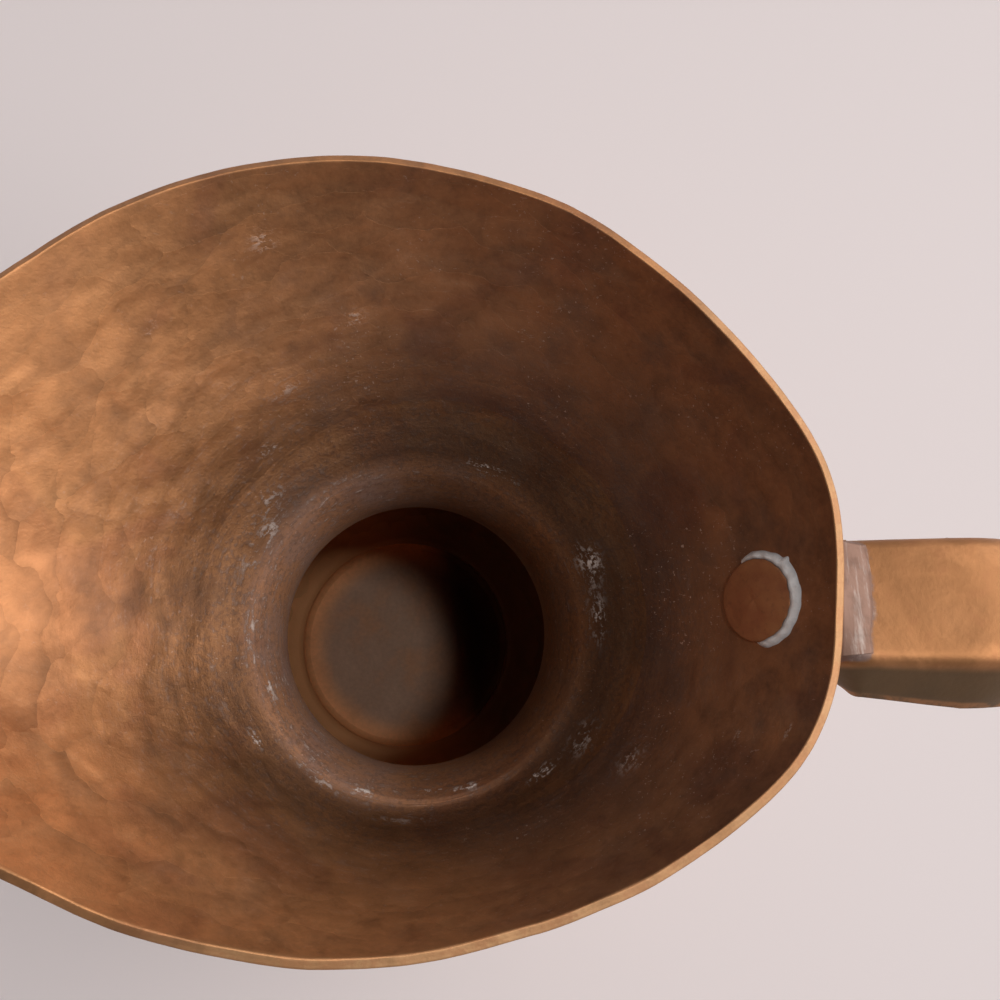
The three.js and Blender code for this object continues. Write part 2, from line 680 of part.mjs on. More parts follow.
// Inside the belly a flat piece clears a hollow that is a share as wide as the belly's own curve
const lowerTinReach = LOWER_HEAD + SEAT + TIN_SPREAD;
const bellyHollow = BELLY_HOLLOW_SHARE * Math.min(...lowerLevels.map((level) => {
  const [low, here, high] = [-1, 0, 1].map((way) => bellyAt(level + way * lowerTinReach).radius);
  return lowerTinReach ** 2 / Math.abs(low + high - 2 * here);
}));
const lowerInner = -BODY_SHEET - hollowSeat(LOWER_HEAD, bellyHollow);
const lowerTinInner = -BODY_SHEET - hollowSeat(lowerTinReach, bellyHollow);
const lowerTin = tinGeometry(LOWER_HEAD, lowerTinInner, flat(lowerTinReach, lowerTinReach), flat(0, 0));
['lower_rivet_top', 'lower_rivet_bottom'].forEach((name, i) => {
  handleSet.add(
    mesh(name, rivetGeometry(LOWER_HEAD, lowerInner), RIVET_COPPER, lowerPlaces[i]),
    mesh(`${name}_tin`, lowerTin, TIN, lowerPlaces[i]),
  );
});

export default jug;
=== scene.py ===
"""A hammered copper jug with a funnel mouth, a drawn pouring lip and a riveted channel handle.

Lengths are in metres, Z is up, the origin is on the jug's axis at its underside, the handle lies
towards +X and the lip towards -X.
"""

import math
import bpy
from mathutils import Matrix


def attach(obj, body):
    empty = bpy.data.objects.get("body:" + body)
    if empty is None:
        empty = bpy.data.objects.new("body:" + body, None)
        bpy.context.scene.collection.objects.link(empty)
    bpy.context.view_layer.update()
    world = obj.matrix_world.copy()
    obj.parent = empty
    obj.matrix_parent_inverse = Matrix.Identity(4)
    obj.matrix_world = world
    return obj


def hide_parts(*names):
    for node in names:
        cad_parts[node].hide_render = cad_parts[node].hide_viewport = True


bl_info = {
    "name": "Copper Jug",
    "version": (1, 0, 0),
    "blender": (4, 5, 0),
    "location": "View3D > Sidebar > Copper Jug",
    "description": "Builds a hammered copper jug piece by piece, with its patina, tin and studio",
    "category": "Add Mesh",
}

import bpy
import numpy as np
from bpy.props import FloatProperty, FloatVectorProperty, PointerProperty
from bpy.types import Operator, Panel, PropertyGroup
from mathutils import Matrix

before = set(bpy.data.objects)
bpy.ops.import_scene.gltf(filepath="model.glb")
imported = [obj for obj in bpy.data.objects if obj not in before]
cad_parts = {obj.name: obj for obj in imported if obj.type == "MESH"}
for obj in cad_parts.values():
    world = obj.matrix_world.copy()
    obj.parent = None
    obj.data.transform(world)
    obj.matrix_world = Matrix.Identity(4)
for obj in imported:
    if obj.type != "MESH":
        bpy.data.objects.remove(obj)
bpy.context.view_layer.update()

MM = 0.001
TURN = 2 * math.pi

# Gap between sheets that lie on each other
SEAT = 0.3 * MM
# Degrees to each side over which the mouth's reach is evened out
EASING = 22
# How far past the neck's lip the wall leaves the arc of the lip
LIP_SETBACK = math.radians(5)
# How far the mouth's collar reaches below the narrowest ring
COLLAR = 3 * MM
# Share of the root bend in which the flanges rise
FLANGE_RISE = 0.33
# How far under the rim the strap's face leaves the wall, and its tab and foot
STRAP_DROP = 3 * MM
TAB_LENGTH = 17 * MM
FOOT_LENGTH = 26 * MM
FOOT_TOP = 0.102
# How far under the rim and beside the middle the upper rivet sits
RIVET_DROP = 14 * MM
RIVET_SIDE = 3.9 * MM
BEAD_COLUMNS = 260

# Scrapes and crusts round the throat: direction in degrees, distance out from the seam in
# millimetres, length in degrees, width in millimetres, strength
THROAT_MARKS = [
    (126, -0.3, 9, 0.7, 1.0), (112, -0.2, 8, 0.5, 1.0), (92, -0.3, 10, 0.5, 0.6), (66, 1.5, 9, 0.9, 0.8),
    (22, 2.6, 7, 2.2, 0.7), (4, 1.8, 9, 1.6, 0.6), (-34, 5.0, 7, 2.4, 0.5), (178, -0.8, 14, 1.0, 0.8),
    (-160, -3.8, 9, 0.8, 0.6), (-110, -1.8, 3, 0.6, 1.6), (-86, -4.0, 4, 0.5, 1.4),
    (-74, -3.0, 5, 0.5, 1.6), (-61, -0.9, 4, 0.6, 1.3), (-49, 3.4, 5, 0.8, 1.8),
    (-147, 4.2, 3, 0.7, 1.2), (150, 2.0, 14, 1.6, 0.5), (-125, 1.0, 16, 1.2, 0.45),
    (140, 5.5, 10, 2.0, 0.35), (-95, 3.5, 18, 1.5, 0.3), (103, 27.5, 2.6, 1.8, 0.45),
    (113, 45.4, 2.4, 2.4, 0.45), (130, 12.6, 4, 2.0, 0.45), (133, 42.5, 1.8, 1.4, 0.4),
    (-20, 33.2, 1.5, 0.45, 1.1), (-17, 42.5, 1.3, 0.45, 1.0), (-32, 15.8, 5, 2.6, 0.5),
    (120, 20, 5, 1.2, 0.35),
]

# The beaten edge of the mouth seen from above, in millimetres, anticlockwise from the handle
MOUTH_EDGE = np.array([
    (60.1, 3.2), (59.7, 20.4), (51.8, 35.2), (37.5, 50.8), (19.5, 62.6), (-4, 67.8), (-25, 65.4),
    (-43.5, 57.2), (-60.5, 43.4), (-78, 27.4), (-92.5, 13.2), (-100.5, 1.2), (-92.5, -8.2),
    (-74, -19), (-54.5, -28.8), (-34.5, -38.6), (-11.2, -43.8), (11, -41.7), (31.3, -35),
    (48.7, -23.7), (57.2, -12),
]) * MM


def length(name, description, default):
    """A length property in metres, given in millimetres."""
    return FloatProperty(name=name, description=description, default=default * MM, min=0, unit="LENGTH")


def angle(name, description, default):
    """An angle property, given in degrees."""
    return FloatProperty(name=name, description=description, default=math.radians(default), subtype="ANGLE")


def share(name, description, default):
    """A share or factor with no unit."""
    return FloatProperty(
        name=name, description=description, default=default, subtype="FACTOR", soft_min=-1, soft_max=1
    )


def tint(name, description, default):
    """A colour in linear light."""
    return FloatVectorProperty(
        name=name, description=description, default=default, size=3, min=0, max=1, subtype="COLOR"
    )


class JugSizes(PropertyGroup):
    """Sizes of the jug's sheets, body, mouth, handle and rivets."""

    body_sheet: length("Body sheet", "Thickness of the belly's copper", 1.3)
    mouth_sheet: length("Mouth sheet", "Thickness of the mouth's copper", 1.5)
    handle_sheet: length("Handle sheet", "Thickness of the strap", 1.2)
    base_sheet: length("Base sheet", "Thickness of the base pan", 1.4)
    foot_radius: length("Foot radius", "Outside radius of the belly's foot", 36)
    belly_radius: length("Belly radius", "Outside radius of the belly at its widest", 67)
    belly_level: length("Belly level", "Height of the belly's widest ring", 70)
    neck_bore: length("Neck bore", "Inside radius of the narrowest ring", 24.3)
    neck_level: length("Neck level", "Height of the narrowest ring", 166)
    flare_arc: length("Flare arc", "Radius of the neck's trumpet lip", 15.5)
    flare_turn: angle("Flare turn", "How far the trumpet lip turns outwards", 46)
    pan_edge: length("Pan edge", "Height of the base pan's upturned edge", 6)
    mouth_rise: length("Mouth rise", "Height of the rim over the narrowest ring", 50)
    lip_rise: length("Lip rise", "How much higher the pouring lip ends", 9)
    bowl_at_handle: share("Bowl at handle", "How bowl-like the wall is beside the handle", 0.45)
    bowl_at_lip: share("Bowl at lip", "How bowl-like the wall is at the lip", -0.1)
    handle_side: length("Handle side", "How far the handle lies beside the middle", 3.6)
    strap_root: length("Strap at root", "Width of the strap at the rim", 18.6)
    strap_bend: length("Strap at bend", "Width of the strap where the loop starts", 19.2)
    strap_foot: length("Strap at foot", "Width of the strap on the belly", 16)
    flange_root: length("Flange at root", "Depth of the folded sides near the rim", 8.2)
    flange_bend: length("Flange at bend", "Depth of the folded sides where the loop starts", 10.6)
    flange_foot: length("Flange at foot", "Depth of the folded sides near the foot", 6.6)
    flange_splay: angle("Flange splay", "How far the folded sides lean out", 22)
    strap_roll: angle("Strap roll", "How far the strap rolls sideways", 18)
    upper_head: length("Upper head", "Radius of the flat rivet head inside the mouth", 6.55)
    lower_head: length("Lower head", "Radius of the rivet heads inside the belly", 4.6)
    beat: length("Hammer mark", "Size of one hammer mark, measured along", 4.6)
    beat_stretch: share("Mark stretch", "How much longer a mark is round the jug", 1.75)
    beat_depth: length("Hammer depth", "How deep the hammer marks lie", 0.3)


class JugFinish(PropertyGroup):
    """Colours of the copper, its patina, the tin and the studio, in linear light."""

    copper: tint("Copper", "Rubbed copper between the stains", (0.54, 0.255, 0.108))
    golden: tint("Golden brown", "Thin golden patina", (0.41, 0.188, 0.076))
    reddish: tint("Reddish brown", "Red oxide patches", (0.3, 0.12, 0.056))
    umber: tint("Umber", "Dark oxide", (0.125, 0.067, 0.045))
    # Painted shade colour: laid on as a bluish cast of shade on the mouth's side towards the handle and as
    # shade at the tin's edges, not a film.
    soot: tint("Soot", "Bluish grey film on the side towards the handle", (0.065, 0.068, 0.092))
    olive: tint("Olive brown", "Dark oxide on the handle's folded sides", (0.13, 0.09, 0.05))
    film: tint("Throat film", "Pinkish grey film of tin and lime", (0.262, 0.168, 0.138))
    bare: tint("Bare edge", "The rim's bare cut edge", (0.54, 0.305, 0.145))
    lime: tint("Lime", "Whitish scale and scraped tin", (0.66, 0.58, 0.53))
    tin: tint("Tin", "Dull silver-white tin", (0.95, 0.93, 0.92))
    tinned: tint("Tinned copper", "Grey tin wash over copper", (0.34, 0.25, 0.195))
    floor: tint("Floor", "The pale surface that the jug stands on", (0.86, 0.79, 0.79))
    backdrop: tint("Backdrop", "The pale light all round", (0.8, 0.76, 0.76))


def smooth(x):
    """Rises from 0 to 1 without corners: 3 x squared minus 2 x cubed, with x held between 0 and 1."""
    x = np.clip(x, 0, 1)
    return x * x * (3 - 2 * x)


def mix(low, high, t):
    """low + (high - low) t."""
    return low + (high - low) * t


def chance(i, j, seed):
    """A fixed number from 0 to 1 for each pair of whole numbers, by integer mixing."""
    i = np.asarray(i).astype(np.int64)
    j = np.asarray(j).astype(np.int64)
    h = (i * 374761393 + j * 668265263 + seed * 2246822519) & 0xFFFFFFFF
    h = ((h ^ (h >> 13)) * 1274126177) & 0xFFFFFFFF
    h = ((h ^ (h >> 16)) * 2246822519) & 0xFFFFFFFF
    return (h ^ (h >> 15)) / 0xFFFFFFFF


def ripple(around, along, seed, waves=5):
    """Slow unevenness from -1 to 1: a mean of waves, each a sine of a whole number of turns around
    plus a number of turns along, with fixed chance phases."""
    total = 0
    for k in range(waves):
        turns = 1 + int(chance(k, 1, seed) * (3 + k))
        climbs = mix(-1.5 - k, 1.5 + k, chance(k, 2, seed))
        phase = TURN * chance(k, 3, seed)
        total = total + np.sin(turns * around + TURN * climbs * along + phase)
    return total / waves


def hammered(around, along, girth, mark, stretch, seed):
    """Hammer marks laid in rings, each stretch times as long round as it is along. A point's
    height is the weighted mean of its nearest marks' planes, each tilted and lowered by chance
    and a little hollow, with weights that fall off as a bell curve of the distance to each mark's
    middle. Returns the height in units of the depth, from about -1.4 to 0, and the nearest marks'
    mean chance tone from 0 to 1. around is in radians, along and girth (the way round at that
    place) in metres."""
    ring = np.floor(along / mark)
    total = np.zeros(np.broadcast(around, along).shape)
    height = total.copy()
    tone = total.copy()
    for di in (-1, 0, 1):
        row = ring + di
        way_round = np.interp((row + 0.5) * mark, girth[0], girth[1])
        count = np.maximum(np.round(way_round / (mark * stretch)), 5)
        place = around / TURN * count + 0.5 * (row % 2)
        for dj in (-1, 0, 1):
            cell = np.floor(place) + dj
            key = np.mod(cell, count)
            middle_along = (row + 0.5 + 0.6 * (chance(row, key, seed) - 0.5)) * mark
            middle_round = cell + 0.5 + 0.6 * (chance(row, key, seed + 1) - 0.5)
            off_along = (along - middle_along) / mark
            off_round = place - middle_round
            distance = off_along ** 2 + off_round ** 2
            weight = np.exp(-distance / (2 * 0.21 ** 2)) + 1e-9
            tilt_along = chance(row, key, seed + 2) - 0.5
            tilt_round = chance(row, key, seed + 3) - 0.5
            low = chance(row, key, seed + 4)
            tilt = 1.5 * (tilt_along * off_along + tilt_round * off_round)
            height += weight * (tilt + 0.5 * distance - 0.45 * low)
            tone += weight * low
            total += weight
    return np.clip(height / total - 0.3, -1.4, 0), tone / total


def bezier(a, b, c, d, t):
    """A cubic curve from a to d pulled towards b and c."""
    t = np.asarray(t)[..., None]
    a, b, c, d = (np.asarray(p, float) for p in (a, b, c, d))
    return (1 - t) ** 3 * a + 3 * (1 - t) ** 2 * t * b + 3 * (1 - t) * t ** 2 * c + t ** 3 * d


def bend(a, corner, b, t):
    """A quadratic curve from a to b pulled towards the corner."""
    t = np.asarray(t)[..., None]
    a, corner, b = (np.asarray(p, float) for p in (a, corner, b))
    return (1 - t) ** 2 * a + 2 * (1 - t) * t * corner + t ** 2 * b


def run_length(line):
    """The distance along a line of points, from 0 at its start."""
    steps = np.linalg.norm(np.diff(line, axis=0), axis=1)
    return np.concatenate([[0], np.cumsum(steps)])


def evenly(line, count):
    """The line's points at even distances along it."""
    along = run_length(line)
    wanted = np.linspace(0, along[-1], count)
    return np.stack([np.interp(wanted, along, line[:, k]) for k in range(line.shape[1])], axis=1)


def left_normals(line):
    """For each point of a flat line, the unit vector to the left of its direction."""
    way = np.gradient(line, axis=0)
    way /= np.linalg.norm(way, axis=1, keepdims=True)
    return np.stack([-way[:, 1], way[:, 0]], axis=1)


def grid_normals(points):
    """Unit normals of a grid of points whose columns close on themselves: the cross of its step
    along the columns and its step along the rows."""
    across = np.roll(points, -1, axis=1) - np.roll(points, 1, axis=1)
    up = np.gradient(points, axis=0)
    normal = np.cross(across, up)
    return normal / np.maximum(np.linalg.norm(normal, axis=2, keepdims=True), 1e-12)


def round_axis(radius, height, around):
    """Points at a radius and a height in each direction round the axis."""
    flat = np.broadcast_arrays(radius * np.cos(around), radius * np.sin(around), height)
    return np.stack(flat, axis=-1)


def turned_from(around, degrees):
    """How far a direction lies from one in degrees, from minus half a turn to half a turn."""
    return np.mod(around - math.radians(degrees) + math.pi, TURN) - math.pi


def build(name, points, rows_close=False, columns_close=True, start_cap=False, end_cap=False, **marks):
    """A mesh from a grid of points: one face between each four neighbours, facing the cross of
    the column step and the row step. A cap joins an end row to its mean point. Each mark is a
    number or a vector at each point, kept as an attribute, and a cap's middle takes the value at
    the start or end of the grid."""
    rows, columns = points.shape[:2]
    index = np.arange(rows * columns).reshape(rows, columns)
    lower = index if rows_close else index[:-1]
    upper = np.roll(index, -1, axis=0) if rows_close else index[1:]
    if columns_close:
        corners = (lower, np.roll(lower, -1, axis=1), np.roll(upper, -1, axis=1), upper)
    else:
        corners = (lower[:, :-1], lower[:, 1:], upper[:, 1:], upper[:, :-1])
    quads = np.stack(corners, axis=-1).reshape(-1, 4)
    vertices = points.reshape(-1, 3)
    faces = quads.tolist()
    extra = []
    if start_cap:
        middle = len(vertices) + len(extra)
        extra.append(points[0].mean(axis=0))
        ring = index[0]
        faces += np.stack([np.roll(ring, -1), ring, np.full(columns, middle)], axis=1).tolist()
    if end_cap:
        middle = len(vertices) + len(extra)
        extra.append(points[-1].mean(axis=0))
        ring = index[-1]
        faces += np.stack([ring, np.roll(ring, -1), np.full(columns, middle)], axis=1).tolist()
    if extra:
        vertices = np.concatenate([vertices, np.array(extra)])
    data = bpy.data.meshes.new(name)
    data.from_pydata(vertices.tolist(), [], faces)
    data.polygons.foreach_set("use_smooth", np.ones(len(faces), bool))
    for key, values in marks.items():
        values = np.asarray(values, np.float32)
        wide = values.ndim == 3
        flat = values.reshape(-1, 3) if wide else np.broadcast_to(values, (rows, columns)).reshape(-1)
        flat = np.concatenate([flat] + [flat[:1]] * start_cap + [flat[-1:]] * end_cap)
        kind = "FLOAT_VECTOR" if wide else "FLOAT"
        attribute = data.attributes.new(key, kind, "POINT")
        attribute.data.foreach_set("vector" if wide else "value", flat.reshape(-1).astype(np.float32))
    data.update()
    data.validate()
    piece = bpy.data.objects.new(name, data)
    bpy.context.scene.collection.objects.link(piece)
    return piece


def hand_over(piece, material, slot, *nodes):
    """Gives a finished piece its material and lets it stand for its CAD nodes. The slot is not used."""
    piece.data.materials.append(material)
    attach(piece, "root")
    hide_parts(*nodes)
    return piece


# Surfaces of the jug


def flare_point(s, turned, outside):
    """The neck's trumpet lip at an angle of its arc, a distance outside the bore's surface:
    radius = bore + arc - (arc - outside) cos, height = level + (arc - outside) sin."""
    reach = s.flare_arc - outside
    radius = s.neck_bore + s.flare_arc - reach * np.cos(turned)
    return np.stack([radius, s.neck_level + reach * np.sin(turned)], axis=-1)


def belly_line(s, fine=400):
    """The belly's outside from its foot to its lip, as radius and height: a short upright, two
    cubic curves that meet at the widest ring, a straight neck and the trumpet lip."""
    foot = s.base_sheet + SEAT
    start = s.pan_edge + SEAT
    t = np.linspace(0, 1, fine)
    neck = s.neck_bore + s.body_sheet
    neck_foot = s.neck_level - COLLAR
    lower = bezier(
        (s.foot_radius, start),
        (s.foot_radius + 14 * MM, s.pan_edge + 6 * MM),
        (s.belly_radius, s.belly_level - 32 * MM),
        (s.belly_radius, s.belly_level),
        t,
    )
    shoulder = bezier(
        (s.belly_radius, s.belly_level),
        (s.belly_radius, s.belly_level + 42 * MM),
        (neck, neck_foot - 18 * MM),
        (neck, neck_foot),
        t,
    )
    upright = np.array([[s.foot_radius, foot]])
    flare = flare_point(s, np.linspace(0, s.flare_turn, 80), s.body_sheet)
    return np.concatenate([upright, lower, shoulder[1:], flare])


def belly_at(s, level):
    """The belly's outside radius and outward slope at a height, read off its line."""
    line = belly_line(s)
    radius = np.interp(level, line[:, 1], line[:, 0])
    step = 0.2 * MM
    higher = np.interp(np.asarray(level) + step, line[:, 1], line[:, 0])
    lower = np.interp(np.asarray(level) - step, line[:, 1], line[:, 0])
    out = np.stack([np.full_like(radius, 2 * step), lower - higher], axis=-1)
    return radius, out / np.linalg.norm(out, axis=-1, keepdims=True)


def edge_curve(count=2880):
    """The mouth's edge as a closed smooth curve through its marks: between two marks a cubic
    whose slopes at the marks are half the step between their neighbours."""
    marks = len(MOUTH_EDGE)
    along = np.arange(count) * marks / count
    k = np.floor(along).astype(int)
    t = (along - k)[:, None]
    p = [MOUTH_EDGE[(k + shift) % marks] for shift in (-1, 0, 1, 2)]
    leave, arrive = (p[2] - p[0]) / 2, (p[3] - p[1]) / 2
    return (
        (2 * t ** 3 - 3 * t ** 2 + 1) * p[1]
        + (t ** 3 - 2 * t ** 2 + t) * leave
        + (3 * t ** 2 - 2 * t ** 3) * p[2]
        + (t ** 3 - t ** 2) * arrive
    )


EDGE = edge_curve()
EDGE_BEARINGS = np.arctan2(EDGE[:, 1], EDGE[:, 0])
EDGE_ORDER = np.argsort(EDGE_BEARINGS)


def edge_reach(bearing):
    """How far the mouth's edge lies from the axis in a direction."""
    reach = np.linalg.norm(EDGE, axis=1)[EDGE_ORDER]
    return np.interp(bearing, EDGE_BEARINGS[EDGE_ORDER], reach, period=TURN)


def even_reach(bearing):
    """The edge's reach evened out: the mean over five directions 11 degrees apart, weighted 1, 2,
    3, 2 and 1."""
    asides = np.radians(EASING) * np.array([-1, -0.5, 0, 0.5, 1])
    return sum(w * edge_reach(bearing + a) for w, a in zip((1, 2, 3, 2, 1), asides)) / 9


def mouth_bearings(count):
    """Directions of points at even distances along the mouth's edge, anticlockwise."""
    closed = np.concatenate([EDGE, EDGE[:1]])
    even = evenly(closed, count + 1)[:-1]
    return np.unwrap(np.arctan2(even[:, 1], even[:, 0]))


def lipward(bearing):
    """0 towards the handle, 1 towards the lip: (1 - cos) / 2."""
    return (1 - np.cos(bearing)) / 2


def rim_height(s, bearing):
    """The rim's height: level, and rising with the cube of lipward towards the lip."""
    return s.neck_level + s.mouth_rise + s.lip_rise * lipward(bearing) ** 3


def seam_point(s):
    """Where the funnel's wall leaves the neck's lip, on the wall's outside."""
    return flare_point(s, s.flare_turn + LIP_SETBACK, s.body_sheet + SEAT + s.mouth_sheet)


def wall_point(s, bearing, t):
    """The outside of the funnel's wall at the share t of the way up. The share of the way out is
    t + bowl t (1 - t), and bowl goes from its value at the handle to that at the lip with the
    square of lipward. The reach that it is a share of goes from the evened one to the edge's own
    with the square of t."""
    bowl = mix(s.bowl_at_handle, s.bowl_at_lip, lipward(bearing) ** 2)
    out = t + bowl * t * (1 - t)
    seam = seam_point(s)
    reach = mix(even_reach(bearing), edge_reach(bearing), t ** 2)
    radius = mix(seam[0], reach, out)
    height = mix(seam[1], rim_height(s, bearing), t)
    return round_axis(radius, height, bearing)


def wall_normal(s, bearing, t):
    """The wall's outward unit normal: the cross of small steps round and up."""
    around = wall_point(s, bearing + 0.01, t) - wall_point(s, bearing - 0.01, t)
    up = wall_point(s, bearing, t + 0.01) - wall_point(s, bearing, t - 0.01)
    normal = np.cross(around, up)
    return normal / np.linalg.norm(normal, axis=-1, keepdims=True)


def wall_at(s, side, level):
    """The wall's outside at a distance beside the XZ plane and a height, with its normal. The
    bearing is improved step by step until the point lies at that side."""
    side, level = np.broadcast_arrays(np.asarray(side, float), np.asarray(level, float))
    bearing = side / 0.06
    seam = seam_point(s)
    for _ in range(10):
        t = (level - seam[1]) / (rim_height(s, bearing) - seam[1])
        point = wall_point(s, bearing, t)
        bearing = np.arctan2(side, point[..., 0])
    return point, wall_normal(s, bearing, t)


def place_on(point, outward):
    """The matrix that puts a piece on a surface: its Z along the normal, its X level, its Y up."""
    outward = outward / np.linalg.norm(outward)
    across = np.array([0, 1.0, 0]) - outward[1] * outward
    across /= np.linalg.norm(across)
    up = np.cross(outward, across)
    return np.stack([across, up, outward], axis=1), np.asarray(point)


def upper_place(s):
    """Where the upper rivet sits: on the wall under the rim."""
    level = s.neck_level + s.mouth_rise - RIVET_DROP
    point, outward = wall_at(s, RIVET_SIDE, level)
    return place_on(point, outward)


def lower_place(s, which):
    """Where a lower rivet sits: on the belly, 6 mm under the foot's top, the next 13 mm lower."""
    level = FOOT_TOP - 6 * MM - 13 * MM * which
    radius, out = belly_at(s, level)
    across = math.sqrt(radius ** 2 - s.handle_side ** 2)
    return place_on((across, s.handle_side, level), np.array([out[0], 0, out[1]]))


def put(points, place):
    """Points moved from a piece's own axes to their place."""
    turn, origin = place
    return points @ turn.T + origin


# Shader maths


class Wire:
    """A node socket that can be added, subtracted and multiplied like a number."""

    def __init__(self, paint, socket):
        self.paint = paint
        self.socket = socket

    def math(self, operation, *values):
        """A Math node of this socket and the values."""
        return self.paint.make("ShaderNodeMath", {"operation": operation}, dict(enumerate(values)))

    def __add__(self, other):
        return self.math("ADD", self, other)

    __radd__ = __add__

    def __sub__(self, other):
        return self.math("SUBTRACT", self, other)

    def __rsub__(self, other):
        return self.math("SUBTRACT", other, self)

    def __mul__(self, other):
        return self.math("MULTIPLY", self, other)

    __rmul__ = __mul__

    def clear(self, low, high):
        """0 below low, 1 above high and a smooth rise between."""
        return self.paint.make(
            "ShaderNodeMapRange",
            {"interpolation_type": "SMOOTHSTEP"},
            {"Value": self, "From Min": low, "From Max": high},
        )


class Paint:
    """A material whose nodes are made through make."""

    def __init__(self, name):
        self.material = bpy.data.materials.new(name)
        self.material.use_nodes = True
        self.tree = self.material.node_tree
        self.tree.nodes.clear()
        self.shader = self.tree.nodes.new("ShaderNodeBsdfPrincipled")
        output = self.tree.nodes.new("ShaderNodeOutputMaterial")
        self.tree.links.new(self.shader.outputs[0], output.inputs[0])
        self.where = self.make("ShaderNodeTexCoord", {}, {}, "Object")

    def make(self, kind, settings, sockets, output=0):
        """A node of a kind with its settings and the values or links of its sockets."""
        node = self.tree.nodes.new(kind)
        for key, value in settings.items():
            setattr(node, key, value)
        for key, value in sockets.items():
            if isinstance(value, Wire):
                self.tree.links.new(value.socket, node.inputs[key])
            elif isinstance(value, (tuple, list)) and node.inputs[key].type == "RGBA" and len(value) == 3:
                node.inputs[key].default_value = (*value, 1)
            else:
                node.inputs[key].default_value = value
        return Wire(self, node.outputs[output])

    def noise(self, scale, detail=3, rough=0.55, where=None, distortion=0):
        """Cloudy noise with features about 1 / scale metres across."""
        sockets = {
            "Vector": where or self.where, "Scale": scale, "Detail": detail, "Roughness": rough,
            "Distortion": distortion,
        }
        return self.make("ShaderNodeTexNoise", {}, sockets)

    def facets(self, where):
        """Shallow dishes round scattered points about 1 apart: the square of the distance to the
        nearest point, 0 in a dish's middle and about 0.8 on its crisp ridge, and how far beyond
        that point a place lies along Z, less than nothing on its near side. The points' net is
        bent a little by noise."""
        bent = self.make("ShaderNodeTexNoise", {}, {"Vector": where, "Scale": 1.3, "Detail": 2.0}, "Color")
        bent = self.make("ShaderNodeVectorMath", {"operation": "SCALE"}, {0: bent, "Scale": 0.7})
        where = self.make("ShaderNodeVectorMath", {"operation": "ADD"}, {0: where, 1: bent})
        sockets = {"Vector": where, "Scale": 1.0, "Randomness": 0.9}
        distance = self.make("ShaderNodeTexVoronoi", {"feature": "F1"}, sockets, "Distance")
        nearest = Wire(self, distance.socket.node.outputs["Position"])
        off = self.make("ShaderNodeVectorMath", {"operation": "SUBTRACT"}, {0: where, 1: nearest})
        beyond = self.make("ShaderNodeSeparateXYZ", {}, {0: off}, "Z")
        return distance * distance, beyond

    def mark(self, key, output="Fac"):
        """An attribute of the piece."""
        return self.make("ShaderNodeAttribute", {"attribute_name": key}, {}, output)

    def blend(self, low, high, factor):
        """A colour between two, by a factor."""
        sockets = {0: factor, 6: low, 7: high}
        return self.make("ShaderNodeMix", {"data_type": "RGBA"}, sockets, 2)

    def shade(self, colour, factor):
        """A colour multiplied by a number."""
        grey = self.make("ShaderNodeCombineColor", {}, {0: factor, 1: factor, 2: factor})
        sockets = {0: 1.0, 6: colour, 7: grey}
        return self.make("ShaderNodeMix", {"data_type": "RGBA", "blend_type": "MULTIPLY"}, sockets, 2)

    def stretch(self, where, scale):
        """Coordinates multiplied by a scale along each axis."""
        return self.make("ShaderNodeVectorMath", {"operation": "MULTIPLY"}, {0: where, 1: scale})

    def finish(self, colour, roughness, height=None, strength=0.3, distance=0.0002, metallic=1.0):
        """Wires the surface's colour, roughness, metal and fine relief to its shader."""
        for key, value in {"Base Color": colour, "Roughness": roughness, "Metallic": metallic}.items():
            if isinstance(value, Wire):
                self.tree.links.new(value.socket, self.shader.inputs[key])
            elif isinstance(value, tuple):
                self.shader.inputs[key].default_value = (*value, 1)
            else:
                self.shader.inputs[key].default_value = value
        if height is not None:
            sockets = {"Height": height, "Strength": strength, "Distance": distance}
            normal = self.make("ShaderNodeBump", {}, sockets)
            self.tree.links.new(normal.socket, self.shader.inputs["Normal"])
        return self.material


def colour(value):
    """A colour property as a plain tuple."""
    return tuple(value)


